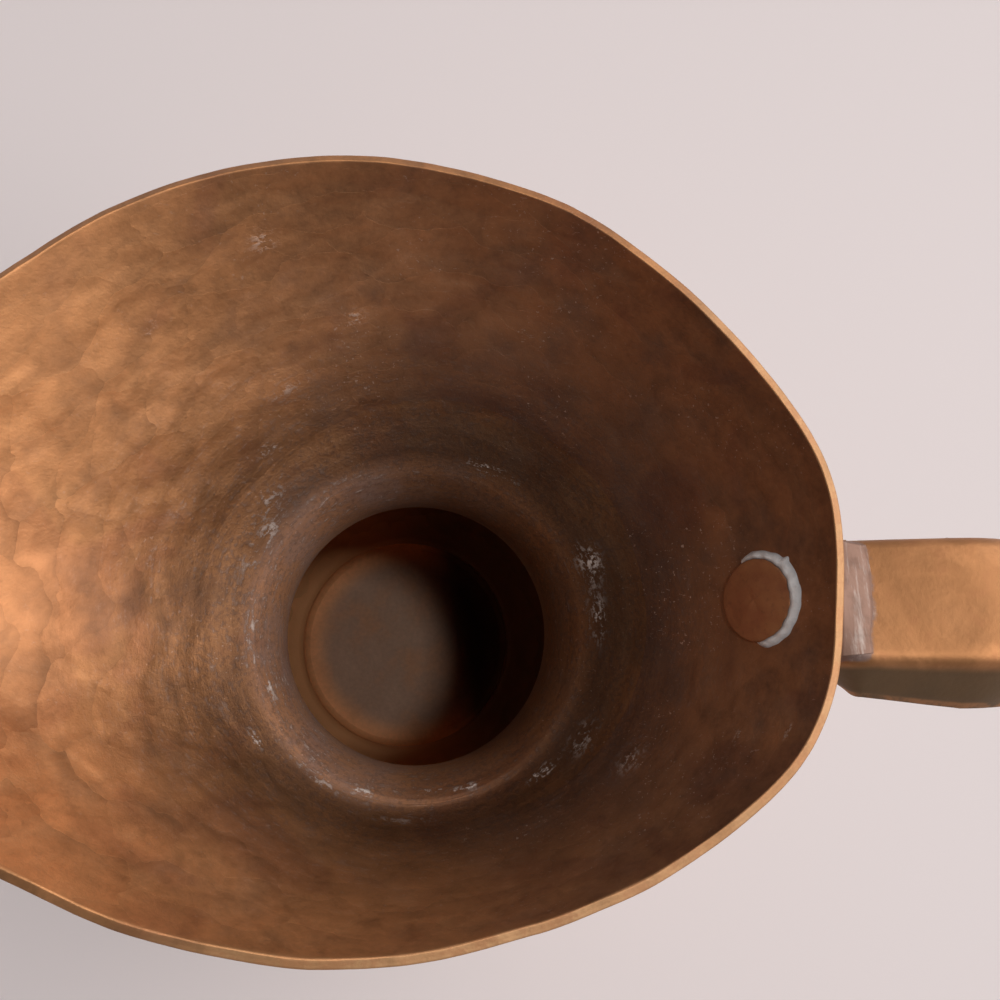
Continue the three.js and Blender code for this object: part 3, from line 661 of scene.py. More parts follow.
def aged_copper(f):
    """Copper under a brown patina: golden brown, reddish patches about 20 mm across and dark
    clouds about 9 mm across, lighter on the crowns between hammer marks, with pale specks and
    hairlines. The pieces' marks add the throat's grey film, crust, chalk and whitish scrapes, the
    cleaner copper deep in the belly, painted light where the wall should be brighter, painted
    shade with a painted bluish cast on the side towards the handle, where there are also more
    pale specks, hammer facets with painted shading, and the bare edge, which is tarnished here
    and there and painted brightest on one side as a painted highlight."""
    p = Paint("aged_copper")
    wide = p.noise(28, 3, 0.5, distortion=0.6)
    cloud = p.noise(105, 5, 0.62)
    blotch = p.noise(270, 4, 0.6, distortion=0.4)
    grain = p.noise(1100, 4, 0.65)
    near = p.mark("near")
    film = p.mark("film")
    bare = p.mark("bare")
    streaks = p.noise(1.0, 6, 0.7, where=p.mark("streak", "Vector"))
    dark = cloud.clear(0.44, 0.78) * 0.5
    base = p.blend(colour(f.golden), colour(f.copper), wide.clear(0.36, 0.66))
    base = p.blend(base, colour(f.reddish), p.noise(46, 3, 0.5, distortion=1.0).clear(0.5, 0.66) * 0.6)
    base = p.blend(base, colour(f.umber), dark)
    base = p.shade(base, 0.1 + p.mark("tone") * 0.2 + blotch * 1.0 + grain * 0.6)
    base = p.blend(base, p.shade(colour(f.copper), 1.75), p.mark("deep") * 0.85)
    veil = film * (0.15 + streaks.clear(0.3, 0.7) * 0.4 + cloud.clear(0.35, 0.65) * 0.35)
    base = p.blend(base, colour(f.film), veil)
    crust = near * (grain * 0.5 + blotch * 0.3 + streaks * 0.2).clear(0.45, 0.58)
    base = p.blend(base, colour(f.umber), crust * 0.65)
    # Chalk and pale specks are kept out of the painted shade.
    lit = 1 - p.mark("gloom")
    chalk = near * lit * (grain * 0.35 + blotch * 0.25 + streaks * 0.4).clear(0.53, 0.62)
    base = p.blend(base, p.blend(colour(f.lime), colour(f.golden), 0.3), chalk * 0.62)
    # Painted light: brighter copper where the piece's light mark says the wall should catch more light.
    base = p.blend(base, p.shade(colour(f.copper), 1.35), p.mark("rubbed") * (0.3 + blotch))
    # Painted shade: dim umber laid over the copper where the piece's shade mark says it lies in shade.
    base = p.blend(base, p.shade(colour(f.umber), 0.3), p.mark("gloom"))
    # Painted shade: a bluish grey cast on the side towards the handle; the same mark brings more pale
    # specks there.
    base = p.blend(base, colour(f.soot), p.mark("haze"))
    patches = p.noise(60, 2, 0.5).clear(0.42, 0.6) * (0.12 + p.mark("haze") * 2.4) + near * lit * 0.3
    hair = p.noise(1.0, 3, 0.6, where=p.stretch(p.where, (260, 2600, 800))).clear(0.66, 0.74) * 0.6
    specks = (p.noise(1500, 2, 0.7).clear(0.64, 0.73) + hair) * patches
    base = p.blend(base, p.blend(colour(f.lime), colour(f.copper), 0.35), specks)
    dish, beyond = p.facets(p.stretch(p.mark("streak", "Vector"), (0.62, 0.62, 0.082)))
    beaten = p.mark("beaten")
    # Painted shading of the hammer facets: each one lighter on its side away from the throat and darker
    # towards its ridge. The same facets also shape the relief below.
    base = p.shade(base, 1 + (beyond * 0.3 - dish.clear(0.25, 0.7) * 0.13) * beaten)
    flakes = (streaks * 0.3 + grain * 0.45 + blotch * 0.25).clear(0.49, 0.58)
    lines = (p.mark("scrape") * 1.3).clear(0.05, 1.1) * flakes * (0.35 + blotch)
    base = p.blend(base, colour(f.lime), lines)
    # The bare edge is real bare copper; the mouth's mark paints it brightest on one side of the rim, a
    # painted highlight.
    tarnish = (blotch * 0.5 + grain * 0.2 + streaks * 0.3).clear(0.47, 0.56)
    edge = p.blend(colour(f.bare), colour(f.reddish), tarnish * 0.45)
    base = p.blend(base, p.shade(edge, cloud * 0.8 + blotch * 0.6 + streaks * 0.7), bare)
    rough = 0.4 + cloud * 0.16 + grain * 0.08 + film * 0.2
    relief = grain * (0.6 + near * 1.6) + p.noise(2400, 2, 0.5) * 0.5 + streaks * near * 1.3 + lines * 2
    relief = relief + (dish * 6.5 + beyond * 1.2) * beaten + blotch * 0.8
    metal = 0.78 - dark * 0.3 - veil * 0.4 - lines * 0.4 - p.mark("deep") * 0.7 - bare * 0.25
    return p.finish(base, rough, relief, 0.4, 0.00014, metal)


def tin_metal(f):
    """Scraped tin: silver-white with grey hollows and fine scratches, with painted shade in a dark
    bluish colour where the piece's edge shade mark says so."""
    p = Paint("scraped_tin")
    cloud = p.noise(260, 5, 0.65)
    scratch = p.noise(1.0, 5, 0.7, where=p.stretch(p.where, (300, 2600, 900)))
    base = p.blend(colour(f.tin), p.shade(colour(f.tinned), 1.4), cloud.clear(0.58, 0.84))
    relief = cloud + scratch * 0.6
    # Painted shade at the tin's edges.
    base = p.blend(base, p.shade(colour(f.soot), 0.6), p.mark("skirt"))
    return p.finish(base, 0.22 + cloud * 0.3, relief * 1.6, 0.5, 0.00025, 0.15)


def root_tin(f):
    """Tin dulled to a brownish grey, with soft whitish streaks across the strap."""
    p = Paint("root_tin")
    streaks = p.noise(1.0, 4, 0.6, where=p.stretch(p.where, (900, 160, 300)))
    cloud = p.noise(300, 4, 0.6)
    dull = p.blend(colour(f.film), colour(f.golden), 0.18)
    base = p.blend(dull, colour(f.lime), (streaks * 0.7 + cloud * 0.3).clear(0.5, 0.66) * 0.5)
    base = p.blend(base, colour(f.umber), cloud.clear(0.45, 0.75) * 0.5)
    return p.finish(base, 0.5 + cloud * 0.2, streaks + cloud * 0.4, 0.35, 0.0002, 0.55)


def tinned_copper(f):
    """Dull grey tin wash where the piece's mark says so, worn through to brown copper in clouds,
    and copper elsewhere."""
    p = Paint("tinned_copper")
    cloud = p.noise(70, 5, 0.6)
    grain = p.noise(700, 4, 0.6)
    worn = p.blend(p.shade(colour(f.copper), 1.75), colour(f.reddish), cloud.clear(0.45, 0.75) * 0.3)
    tin = p.mark("tinned") * (0.8 - cloud.clear(0.45, 0.75) * 0.4)
    base = p.blend(worn, colour(f.tinned), tin)
    base = p.shade(base, 0.8 + grain * 0.4)
    patina = p.blend(colour(f.golden), colour(f.umber), cloud.clear(0.38, 0.66) * 0.7)
    base = p.blend(base, p.shade(patina, 0.45 + grain * 0.9), p.mark("outer"))
    # Painted shadow: dim umber where the mark says no light comes through the neck.
    base = p.blend(base, p.shade(colour(f.umber), 0.2), p.mark("gloom"))
    return p.finish(base, 0.55 + cloud * 0.2, grain, 0.3, 0.0002, 0.15 + tin * 0.35)


# Pieces


def sizes():
    """The jug's sizes, kept in the scene."""
    return bpy.context.scene.copper_jug_sizes


def finishes():
    """The jug's colours, kept in the scene."""
    return bpy.context.scene.copper_jug_finish


def streak_coordinates(around, along):
    """Coordinates in which noise runs in long streaks round the axis: the direction round, times
    a small number, and the distance along, times a large one."""
    around, along = np.broadcast_arrays(around, along)
    return np.stack([np.cos(around) * 9, np.sin(around) * 9, along * 1900], axis=-1)


def throat_marks(around, out):
    """Whitish scrapes and crusts of scale round the throat: a sum of soft ovals, each with its
    direction from the handle in degrees, its distance out from the seam, its length in degrees,
    its width and its strength."""
    total = np.zeros(np.broadcast(around, out).shape)
    for at, off, long, wide, strength in THROAT_MARKS:
        round_by = turned_from(around, at) / math.radians(long)
        out_by = (out - off * MM) / (wide * MM)
        total += strength * np.exp(-round_by ** 2 - out_by ** 2)
    return total


def throat_film(around, out):
    """How much grey film of tin and lime lies on the copper: it begins inside the neck, is full on
    the trumpet lip, fades over 5 mm about an edge that wanders round the seam, and is thin on the
    side towards the handle."""
    edge = 0.8 * MM + 1.8 * MM * ripple(around, 0 * around, 71, 7)
    fade = 1 - smooth((out - edge) / (5 * MM) + 0.5)
    below = smooth((out + 22 * MM) / (8 * MM))
    side = mix(0.15, 1, smooth(0.6 - 0.7 * np.cos(around + 0.15)))
    return fade * below * side


def throat_nearness(out):
    """1 at the throat, falling as a bell curve of the distance out along the wall, 22 mm wide."""
    return np.exp(-(np.maximum(out, 0) / (22 * MM)) ** 2)


def throat_gloom(around, out):
    """Painted shade: how much darker the copper is painted where it lies in shade, most on the wall
    round the throat and on the side towards the handle, none on the far side of the trumpet lip."""
    side = smooth(0.5 + 0.75 * np.cos(around - math.radians(15)))
    wall = smooth((out + 2 * MM) / (5 * MM))
    round_throat = np.exp(-(np.maximum(out, 0) / (19 * MM)) ** 2)
    return mix(0.5 * side, mix(0.58, 0.84, side), wall) * round_throat + 0.12 * side * (1 - round_throat)


def make_belly(s):
    """The belly: its line turned round the axis, with the inside a sheet's thickness in, and the
    hammer marks pressed in from outside, fading at the foot and under the collar."""
    rows, columns = 174, 280
    line = evenly(belly_line(s), rows)
    along = run_length(line)
    inward = left_normals(line)
    around = np.linspace(0, TURN, columns, endpoint=False)[None, :]
    girth = (along, line[:, 0] * TURN)
    height, tone = hammered(around, along[:, None], girth, s.beat * 1.3, 1.25, 11)
    calm = smooth((along - 5 * MM) / (6 * MM)) * smooth((along[-1] - 20 * MM - along) / (12 * MM))
    slow = 0.1 * MM * (ripple(around, along[:, None] / along[-1], 5) - 1)
    press = (height * s.beat_depth + slow) * calm[:, None]
    round_lip = np.linspace(0, 1, 7)[1:-1]
    outside = line[:, None, :] - inward[:, None, :] * press[..., None]
    inside = outside + inward[:, None, :] * s.body_sheet
    lip = mix(outside[-1], inside[-1], smooth(round_lip)[:, None, None])
    way = np.array([math.sin(s.flare_turn), math.cos(s.flare_turn)])
    lip = lip + way * (np.sin(round_lip * math.pi) * 0.25 * MM)[:, None, None]
    profile = np.concatenate([outside, lip, inside[::-1]])
    points = round_axis(profile[..., 0], profile[..., 1], around)
    run = np.concatenate([along, np.full(5, along[-1]), along[::-1]])[:, None]
    out = run - along[-1] - s.flare_arc * LIP_SETBACK + 0 * around
    inner = np.concatenate([np.zeros(len(line)), np.linspace(0, 1, 5), np.ones(len(line))])[:, None]
    deep = 1 - smooth((run - 110 * MM) / (50 * MM))
    tone = mix(0.5, tone, calm[:, None])
    tones = np.concatenate([tone, np.repeat(tone[-1:], 5, axis=0), tone[::-1]])
    near = throat_nearness(-out) * inner
    # Painted shade round the throat, on the upper inside only.
    upper = smooth((run - 150 * MM) / (30 * MM)) * inner
    # Painted shadow deep inside on the side towards the handle, where no light comes through the neck.
    night = 0.85 * smooth(0.35 + np.cos(around - math.radians(15))) * deep * inner
    beaten = 0.55 * np.concatenate([calm, np.full(5, calm[-1]), calm[::-1]])[:, None]
    return build(
        "belly", points, rows_close=True, tone=tones, film=throat_film(around, out) * inner,
        scrape=throat_marks(around, out) * inner, deep=deep * inner, near=near,
        gloom=throat_gloom(around, out) * upper + night, beaten=beaten,
        streak=streak_coordinates(around, out),
    )


def beaten_wall(s, bearing, t):
    """The funnel wall's outside as the hammer left it: each point of the plain wall with its
    outward normal, how far it is pressed out (less than nothing is in), its tone, how clear its
    marks are, its distance out from the seam and the whole distance to the rim. Low rings run
    round beside the throat, the marks fade beside the rim, the seam and the flat rivet head, and
    the rim wavers inwards."""
    point = wall_point(s, bearing, t)
    normal = wall_normal(s, bearing, t)
    seam = seam_point(s)
    span = np.hypot(edge_reach(bearing) - seam[0], rim_height(s, bearing) - seam[1])
    along = t * span
    out = np.linspace(0, 0.1, 50)
    girth = (out + 0.5, (seam[0] + out * 0.72) * TURN)
    height, tone = hammered(bearing, along + 0.5, girth, s.beat, s.beat_stretch, 3)
    rivet = np.linalg.norm(point - upper_place(s)[1], axis=-1)
    calm = smooth(along / (6 * MM)) * mix(0.4, 1, smooth((span - along) / (7 * MM)))
    calm = calm * smooth((rivet - 7 * MM) / (7 * MM)) * mix(0.4, 1, lipward(bearing) ** 2)
    tone = mix(0.5, tone, smooth(along / (6 * MM)))
    rings = np.sin(TURN * along / (3.4 * MM) + 2.5 * ripple(bearing, along / 0.02, 41, 6))
    rings = rings * smooth(along / (4 * MM)) * (1 - smooth((along - 8 * MM) / (12 * MM)))
    slow = ripple(bearing, along / 0.1, 8) * smooth(along / (20 * MM)) * smooth((span - along) / (12 * MM))
    wavering = (0.5 + 0.5 * ripple(bearing * 3, 0 * bearing, 77, 6)) * smooth(1 - (span - along) / (6 * MM))
    press = height * s.beat_depth * calm + rings * 0.025 * MM + slow * 0.22 * MM - wavering * 0.3 * MM
    return point, normal, press, tone, calm, along, span


def make_mouth(s):
    """The mouth: a collar outside the neck's lip, then the wall from the seam to the edge, which
    is rounded and a little uneven, and the same surfaces again a sheet's thickness inwards."""
    columns, wall_rows = 400, 92
    bearing = mouth_bearings(columns)[None, :]
    skin = s.body_sheet + SEAT + s.mouth_sheet
    turned = np.linspace(0, s.flare_turn + LIP_SETBACK, 9)[:-1]
    collar_z = np.linspace(s.neck_level - COLLAR, s.neck_level, 5)[:-1]

    def low(outside_by):
        """The collar and the stretch over the neck's lip, a distance outside the bore."""
        collar = np.stack([np.full(4, s.neck_bore + outside_by), collar_z], axis=1)
        line = np.concatenate([collar, flare_point(s, turned, outside_by)])[:, None, :]
        return round_axis(line[..., 0], line[..., 1], bearing)

    t = np.linspace(0, 1, wall_rows)[:, None]
    point, normal, press, tone, calm, along, span = beaten_wall(s, bearing, t)
    outside = np.concatenate([low(skin), point + normal * press[..., None]])
    inside = np.concatenate([
        low(skin - s.mouth_sheet), point + normal * (press - s.mouth_sheet)[..., None],
    ])
    rows = np.linspace(0, 1, 9)[1:-1]
    rim = mix(outside[-1], inside[-1], (0.5 - 0.5 * np.cos(rows * math.pi))[:, None, None])
    up = point[-1] - point[-2]
    up /= np.linalg.norm(up, axis=-1, keepdims=True)
    crown = np.minimum(np.sin(rows * math.pi) * 2.0, 1)[:, None] * 0.25 * MM
    file_girth = (np.linspace(0, 1, 5), np.full(5, 0.42))
    dent = hammered(bearing, 0 * bearing + 0.31, file_girth, 3.1 * MM, 1.4, 21)[0]
    rim = rim + up * (crown + 0.17 * MM * dent * np.sin(rows * math.pi)[:, None])[..., None]
    lowered = up * (0.42 * MM)
    outside[-1] -= lowered
    inside[-1] -= lowered
    rim -= lowered
    points = np.concatenate([outside, rim, inside[::-1]])
    low_rows = len(outside) - wall_rows

    def over(low_value, wall_value, rim_value, inner_only=False):
        """A mark's values over the outside, the rim and the inside in turn."""
        half = np.concatenate([np.full((low_rows, columns), low_value), wall_value + 0 * along])
        first = 0 * half if inner_only else half
        return np.concatenate([first, np.broadcast_to(rim_value, (len(rows), columns)), half[::-1]])

    strip = mix(1.3, 0.4, np.cos(bearing / 2) ** 6) * MM
    worn = smooth(1 - (span - along) / strip) * 0.75
    # Painted shade: a bluish grey cast on the side towards the handle, growing out from the throat; the
    # same mark also brings more pale specks there.
    haze = 0.25 * smooth(0.45 + 0.75 * np.cos(bearing - math.radians(15))) * smooth(along / (16 * MM))
    # Painted light: brighter copper painted on the lip side of the wall away from the throat, and in two
    # patches towards -Y and +Y, where the wall should catch more light.
    rubbed = smooth((lipward(bearing) - 0.6) / 0.4) * smooth((along - 18 * MM) / (40 * MM)) * 0.7
    for at, strength, broad in ((-78, 0.42, 0.6), (77, 0.24, 0.22)):
        spot = np.exp(-(turned_from(bearing, at) / broad) ** 2)
        rubbed = rubbed + strength * spot * smooth((along - 6 * MM) / (20 * MM))
    # Painted highlight: the bare edge's bright copper is painted strongest at bearing -40 degrees and faint
    # on the far side, over the real bare edge near the rim.
    light_side = mix(0.1, 1, smooth(0.5 + 1.6 * np.cos(bearing + math.radians(40))))
    polish = np.array([0.6, 0.95, 1.0, 0.8, 1.0, 0.85, 0.35])[:, None]
    change = 1 - 0.35 * smooth(0.5 + 1.4 * ripple(bearing * 4, polish * 0.02, 57, 9))
    bare = over(0.0, worn * light_side, light_side * polish * change)
    out = over(-1 * MM, along, span)
    # The shade mark paints shade round the throat and on the side towards the handle.
    return build(
        "mouth_funnel", points, rows_close=True, tone=over(0.5, tone, 0.5), bare=bare,
        film=over(1.0, throat_film(bearing, along), 0.0, inner_only=True),
        near=over(1.0, throat_nearness(along), 0.0, inner_only=True),
        gloom=over(0.0, throat_gloom(bearing, along), 0.0, inner_only=True), beaten=over(0.0, calm, 0.3),
        rubbed=over(0.0, rubbed, 0.0, inner_only=True), haze=over(0.0, haze, 0.0, inner_only=True),
        scrape=over(0.0, throat_marks(bearing, along), 0.0, inner_only=True),
        streak=streak_coordinates(bearing + 0 * out, out),
    )


def base_gloom(around, radius):
    """How much painted shadow darkens the base's inside on the side towards the handle, away from
    the light through the neck: nothing up to 8 mm out that way, rising softly to 0.92 over 15 mm."""
    return 0.92 * smooth((radius * np.cos(around - math.radians(10)) - 8 * MM) / (15 * MM))


def make_base(s):
    """The base pan: flat disc, rounded heel and upturned edge, turned round the axis. The disc
    rises and sinks a little, by less than 0.2 mm. Its marks say where it is tinned, where shadow
    is painted on its inside away from the light from the neck, and which rows lie outside."""
    inner = s.foot_radius + SEAT
    outer = inner + s.base_sheet
    heel = bend((outer - 1.6 * MM, 0), (outer, 0), (outer, 1.6 * MM), np.linspace(0, 1, 8))
    brim = np.array([(outer, s.pan_edge - 0.4 * MM), (outer - 0.3 * MM, s.pan_edge),
                     (inner + 0.3 * MM, s.pan_edge), (inner, s.pan_edge - 0.4 * MM)])
    toe = bend((inner, s.base_sheet + 0.8 * MM), (inner, s.base_sheet), (inner - 0.8 * MM, s.base_sheet),
               np.linspace(0, 1, 6))
    under_rows, top_rows = 40, 44
    under = np.stack([np.linspace(0.5 * MM, outer - 1.7 * MM, under_rows), np.zeros(under_rows)], axis=1)
    top_out = np.linspace(inner - 1 * MM, 0.5 * MM, top_rows)
    top = np.stack([top_out, np.full(top_rows, s.base_sheet)], axis=1)
    line = np.concatenate([under, heel, brim, toe, top])
    around = np.linspace(0, TURN, 240, endpoint=False)[None, :]
    radius = line[:, 0][:, None]
    girth = (np.linspace(0, 0.05, 20), np.linspace(0, 0.05, 20) * TURN)
    height = hammered(around, radius + 0 * around, girth, 6 * MM, 1.2, 31)[0]
    press = np.zeros_like(height)
    flat = smooth((outer - 4 * MM - radius) / (6 * MM)) * smooth(radius / (4 * MM))
    press[:under_rows] = (0.12 * MM * (1 + height) * flat)[:under_rows]
    press[-top_rows:] = (0.12 * MM * height * flat)[-top_rows:]
    points = round_axis(radius, line[:, 1][:, None] + press, around)
    inner_side = (np.arange(len(line)) >= len(line) - len(toe) - top_rows)[:, None]
    return build(
        "base_pan", points, start_cap=True, end_cap=True,
        tinned=1 - smooth((radius - 25 * MM) / (8 * MM)),
        gloom=base_gloom(around, radius) * inner_side, outer=1.0 - inner_side,
    )


def bead(name, line, seed, lumps, **marks):
    """A bead of solder: a closed small section turned round the axis. The section swells and
    shrinks about its middle with slow and quick waves round the axis."""
    around = np.linspace(0, TURN, BEAD_COLUMNS, endpoint=False)[None, :]
    line = np.asarray(line)[:, None, :]
    heart = line.mean(axis=0, keepdims=True)
    quick = 0.6 * np.sin(23 * around + seed) * np.sin(7 * around)
    swell = 1 + lumps * (ripple(around, 0 * around, seed, 7) + quick)
    profile = heart + (line - heart) * swell[..., None]
    points = round_axis(profile[..., 0], profile[..., 1], around)
    return build(name, points, rows_close=True, **marks)


def make_base_solder(s):
    """Solder in the corner between the base and the belly: a hollow fillet, a quadratic curve
    2.6 mm in and up, sunk a little into both so that no gap shows."""
    sunk = 0.2 * MM
    foot = s.base_sheet - sunk
    inside = s.foot_radius - s.body_sheet + sunk
    line = bend(
        (inside - 2.6 * MM, foot), (inside - 0.6 * MM, foot + 0.6 * MM),
        (inside, foot + 2.6 * MM), np.linspace(0, 1, 7),
    )
    section = np.concatenate([line[::-1], [(inside - 1.4 * MM, foot)], [(inside, foot)]])
    # Painted shadow on the bead's side towards the handle, as on the base's inside.
    gloom = base_gloom(np.linspace(0, TURN, BEAD_COLUMNS, endpoint=False)[None, :], s.foot_radius)
    return bead("base_solder", section, 5, 0.05, tinned=0.0, gloom=gloom)


def make_collar_solder(s):
    """Solder under the mouth's collar, outside the neck: a quadratic curve from the neck, 1.9 mm
    down, to the collar's outer edge."""
    neck = s.neck_bore + s.body_sheet + SEAT
    collar = s.neck_level - COLLAR - SEAT
    foot = neck + 0.45 * MM
    line = bend(
        (foot, collar - 1.9 * MM), (foot + 0.4 * MM, collar - 0.5 * MM),
        (neck + s.mouth_sheet, collar), np.linspace(0, 1, 7),
    )
    section = np.concatenate([line, [(neck, collar)]])
    return bead("collar_solder", section, 6, 0.06)


def make_throat_solder(s):
    """Tin on the seam inside the mouth: it starts as a film on the neck's lip, fills the step behind
    it and runs out over the beaten wall to a wandering line 9 to 13 mm out, where it dips under the
    wall's skin. Its thickness is a cubic of the way out, from the step's height to nothing, and
    starts with the slope that carries on the lip's own: the tangent of the angle between them."""
    bearing = mouth_bearings(400)[None, :]

    def ring(flat):
        """A ring of points at a radius and a height."""
        return round_axis(flat[0], flat[1], bearing)

    seam = seam_point(s)
    span = np.hypot(edge_reach(bearing) - seam[0], rim_height(s, bearing) - seam[1])
    far = 11 * MM + 2 * MM * ripple(bearing, 0 * bearing, 17, 8)
    share_out = np.linspace(0.0, 1.24, 30)[1:, None]
    point, normal, press, tone, _, along, _ = beaten_wall(s, bearing, share_out * far / span)
    low, high = wall_point(s, bearing, 0.0), wall_point(s, bearing, 0.02)
    outward = np.hypot(high[..., 0], high[..., 1]) - np.hypot(low[..., 0], low[..., 1])
    lean = s.flare_turn + LIP_SETBACK - np.arctan2(outward, high[..., 2] - low[..., 2])
    x = np.minimum(share_out, 1)
    past = np.maximum(share_out - 1, 0)
    thick = (s.body_sheet + SEAT + 0.1 * MM) * (2 * x ** 3 - 3 * x ** 2 + 1 - 2 * past ** 2)
    thick = thick - far * np.tan(lean) * (x ** 3 - 2 * x ** 2 + x) - 0.03 * MM
    skin = point + normal * (press - s.mouth_sheet - thick)[..., None]
    under = point[::-4] + normal[::-4] * (press[::-4] - s.mouth_sheet + 0.5 * MM)[..., None]
    turned = np.linspace(s.flare_turn - 0.32, s.flare_turn - 0.02, 9)
    lift = mix(-0.12, 0.16, smooth((np.arange(9) + 1) / 9)) * MM
    lip = [ring(flare_point(s, at, -up)) for at, up in zip(turned, lift)]
    back = ring(flare_point(s, s.flare_turn + 0.5 * LIP_SETBACK, s.body_sheet + 0.5 * SEAT))
    start = ring(flare_point(s, turned[0], 0.5 * MM))
    points = np.concatenate([*lip, skin, under, back, start])[::-1]
    before = (turned - s.flare_turn - LIP_SETBACK) * s.flare_arc
    ends = [0 * bearing, before[0] + 0 * bearing]
    out = np.concatenate([before[:, None] + 0 * bearing, along, along[::-4], *ends])[::-1]
    plain = np.full((1, bearing.shape[1]), 0.5)
    tones = np.concatenate([plain.repeat(len(before), axis=0), tone, tone[::-4], plain, plain])
    # The shade mark paints shade round the throat here, as on the wall.
    return build(
        "throat_solder", points, rows_close=True, tone=tones[::-1], film=throat_film(bearing, out),
        near=throat_nearness(out), gloom=throat_gloom(bearing, out), scrape=throat_marks(bearing, out),
        beaten=smooth(out / (8 * MM)) * 0.5, streak=streak_coordinates(bearing, out),
    )


def handle_route(s):
    """The line of the strap's outer face in the plane beside the axis, part by part: up the
    outside of the wall, round the root bend, along the strap, down the loop, round the foot bend
    and down the belly. Returns each part's points, taken at even distances."""
    rim = s.neck_level + s.mouth_rise
    root_bend, foot_bend, leg = 5.5 * MM, 9 * MM, 0.8
    strap_rise, strap_reach = math.radians(6), 21 * MM
    side = s.handle_side
    tab_top = rim - STRAP_DROP - root_bend
    wall, out = wall_at(s, side, np.linspace(tab_top - TAB_LENGTH, tab_top, 60))
    tab = (wall + out * SEAT)[:, [0, 2]]
    rise = tab[-1] - tab[-2]
    rise /= np.linalg.norm(rise)
    corner = tab[-1] + rise * (rim - STRAP_DROP - tab[-1][1]) / rise[1]
    way = np.array([math.cos(strap_rise), math.sin(strap_rise)])
    strap_start = corner + way * root_bend * leg
    strap_end = strap_start + way * (strap_reach - root_bend)
    levels = np.linspace(FOOT_TOP, FOOT_TOP - FOOT_LENGTH, 60)
    radius, slope = belly_at(s, levels)
    across = np.sqrt(radius ** 2 - side ** 2)
    foot = np.stack([across, levels], axis=1) + slope * (SEAT + s.handle_sheet)
    fall = foot[1] - foot[0]
    fall /= np.linalg.norm(fall)
    foot_corner = foot[0] - fall * foot_bend * leg
    landing = foot_corner + foot_bend * leg
    t = np.linspace(0, 1, 200)
    pull_out, pull_in = way * 28 * MM, np.array([52, 50]) * MM
    loop = bezier(strap_end, strap_end + pull_out, landing + pull_in, landing, t)
    return {
        "tab": evenly(tab, 26),
        "root": evenly(bend(tab[-1], corner, strap_start, t), 14),
        "strap": evenly(np.stack([strap_start, strap_end]), 16),
        "loop": evenly(loop, 120),
        "bend": evenly(bend(landing, foot_corner, foot[0], t), 14),
        "foot": evenly(foot, 36),
    }


def rounded_width(width, distance):
    """The width near a rounded end: the half circle's chord, never under 0.12 of the width."""
    left = np.clip(1 - distance / (width / 2), 0, 1)
    return width * np.maximum(np.sqrt(1 - left ** 2), 0.12)


def strap_forms(s, part, u):
    """Width, flange depth, roll and hug at the share u of each part of the route."""
    one = np.ones_like(u)
    if part == "tab":
        return rounded_width(s.strap_root, u * TAB_LENGTH), 0 * u, 0 * u, one
    if part == "root":
        flange = s.flange_root * smooth(u / FLANGE_RISE)
        return s.strap_root * one, flange, s.strap_roll * smooth(u), 1 - smooth(u)
    if part == "strap":
        width, flange = mix(s.strap_root, s.strap_bend, u), mix(s.flange_root, s.flange_bend, u)
        return width, flange, s.strap_roll * one, 0 * u
    if part == "loop":
        width = mix(s.strap_bend, s.strap_foot, u * u)
        return width, mix(s.flange_bend, s.flange_foot, u * u), s.strap_roll * (1 - smooth(u * 1.4)), 0 * u
    if part == "bend":
        return s.strap_foot * one, s.flange_foot * (1 - smooth(u)), 0 * u, smooth(u)
    return rounded_width(s.strap_foot, (1 - u) * FOOT_LENGTH), 0 * u, 0 * u, one


def channel_section(s, width, flange):
    """The channel's closed section for each width and flange depth: the face, a fold of even
    radius round outside, a flange leaning out by the splay, its cut edge and the inner sides."""
    sheet = s.handle_sheet
    depth = np.maximum(flange, sheet + 0.05 * MM)
    lean = math.tan(s.flange_splay)
    slant = math.hypot(1, lean)
    fold = np.minimum(1.5 * MM, depth / 2)
    half = width / 2
    inside = half + sheet * (lean - (1 + lean * lean) / slant)
    inner_fold = np.minimum(0.5 * MM, (depth - sheet) / 2)
    nick = 0.25 * MM
    pairs = []

    def add(x, y):
        pairs.append(np.stack(np.broadcast_arrays(x, y), axis=-1))

    flange_x = half + depth * lean
    add(flange_x - nick, -depth)
    add(flange_x, -depth + nick)
    for k in (0.25, 0.5, 0.75):
        level = mix(depth - nick, fold, k)
        add(half + level * lean, -level)
    for k in np.linspace(0, 1, 6):
        add((1 - k) ** 2 * (half + fold * lean) + 2 * (1 - k) * k * half + k * k * (half - fold),
            -(1 - k) ** 2 * fold)
    for k in (0.8, 0.6, 0.4, 0.2):
        add((half - fold) * k, 0 * half)
    add(0 * half, 0 * half)
    outer = list(pairs)
    pairs.clear()
    below = depth - sheet
    edge_x = inside + below * lean
    add(edge_x + nick, -depth)
    add(edge_x, -depth + np.minimum(nick, below / 2))
    for k in (0.3, 0.6):
        add(inside + below * lean * (1 - k), -sheet - below * (1 - k))
    for k in np.linspace(0, 1, 4):
        start, end = inside + inner_fold * lean, inside - inner_fold
        add((1 - k) ** 2 * start + 2 * (1 - k) * k * inside + k * k * end,
            -sheet - (1 - k) ** 2 * inner_fold)
    for k in (0.75, 0.5, 0.25):
        add((inside - inner_fold) * k, -sheet + 0 * half)
    add(0 * half, -sheet + 0 * half)
    inner = list(pairs)

    def flip(point):
        return point * np.array([-1, 1])

    ring = outer + [flip(q) for q in outer[-2::-1]] + [flip(q) for q in inner] + inner[-2::-1]
    return np.stack(ring, axis=1)


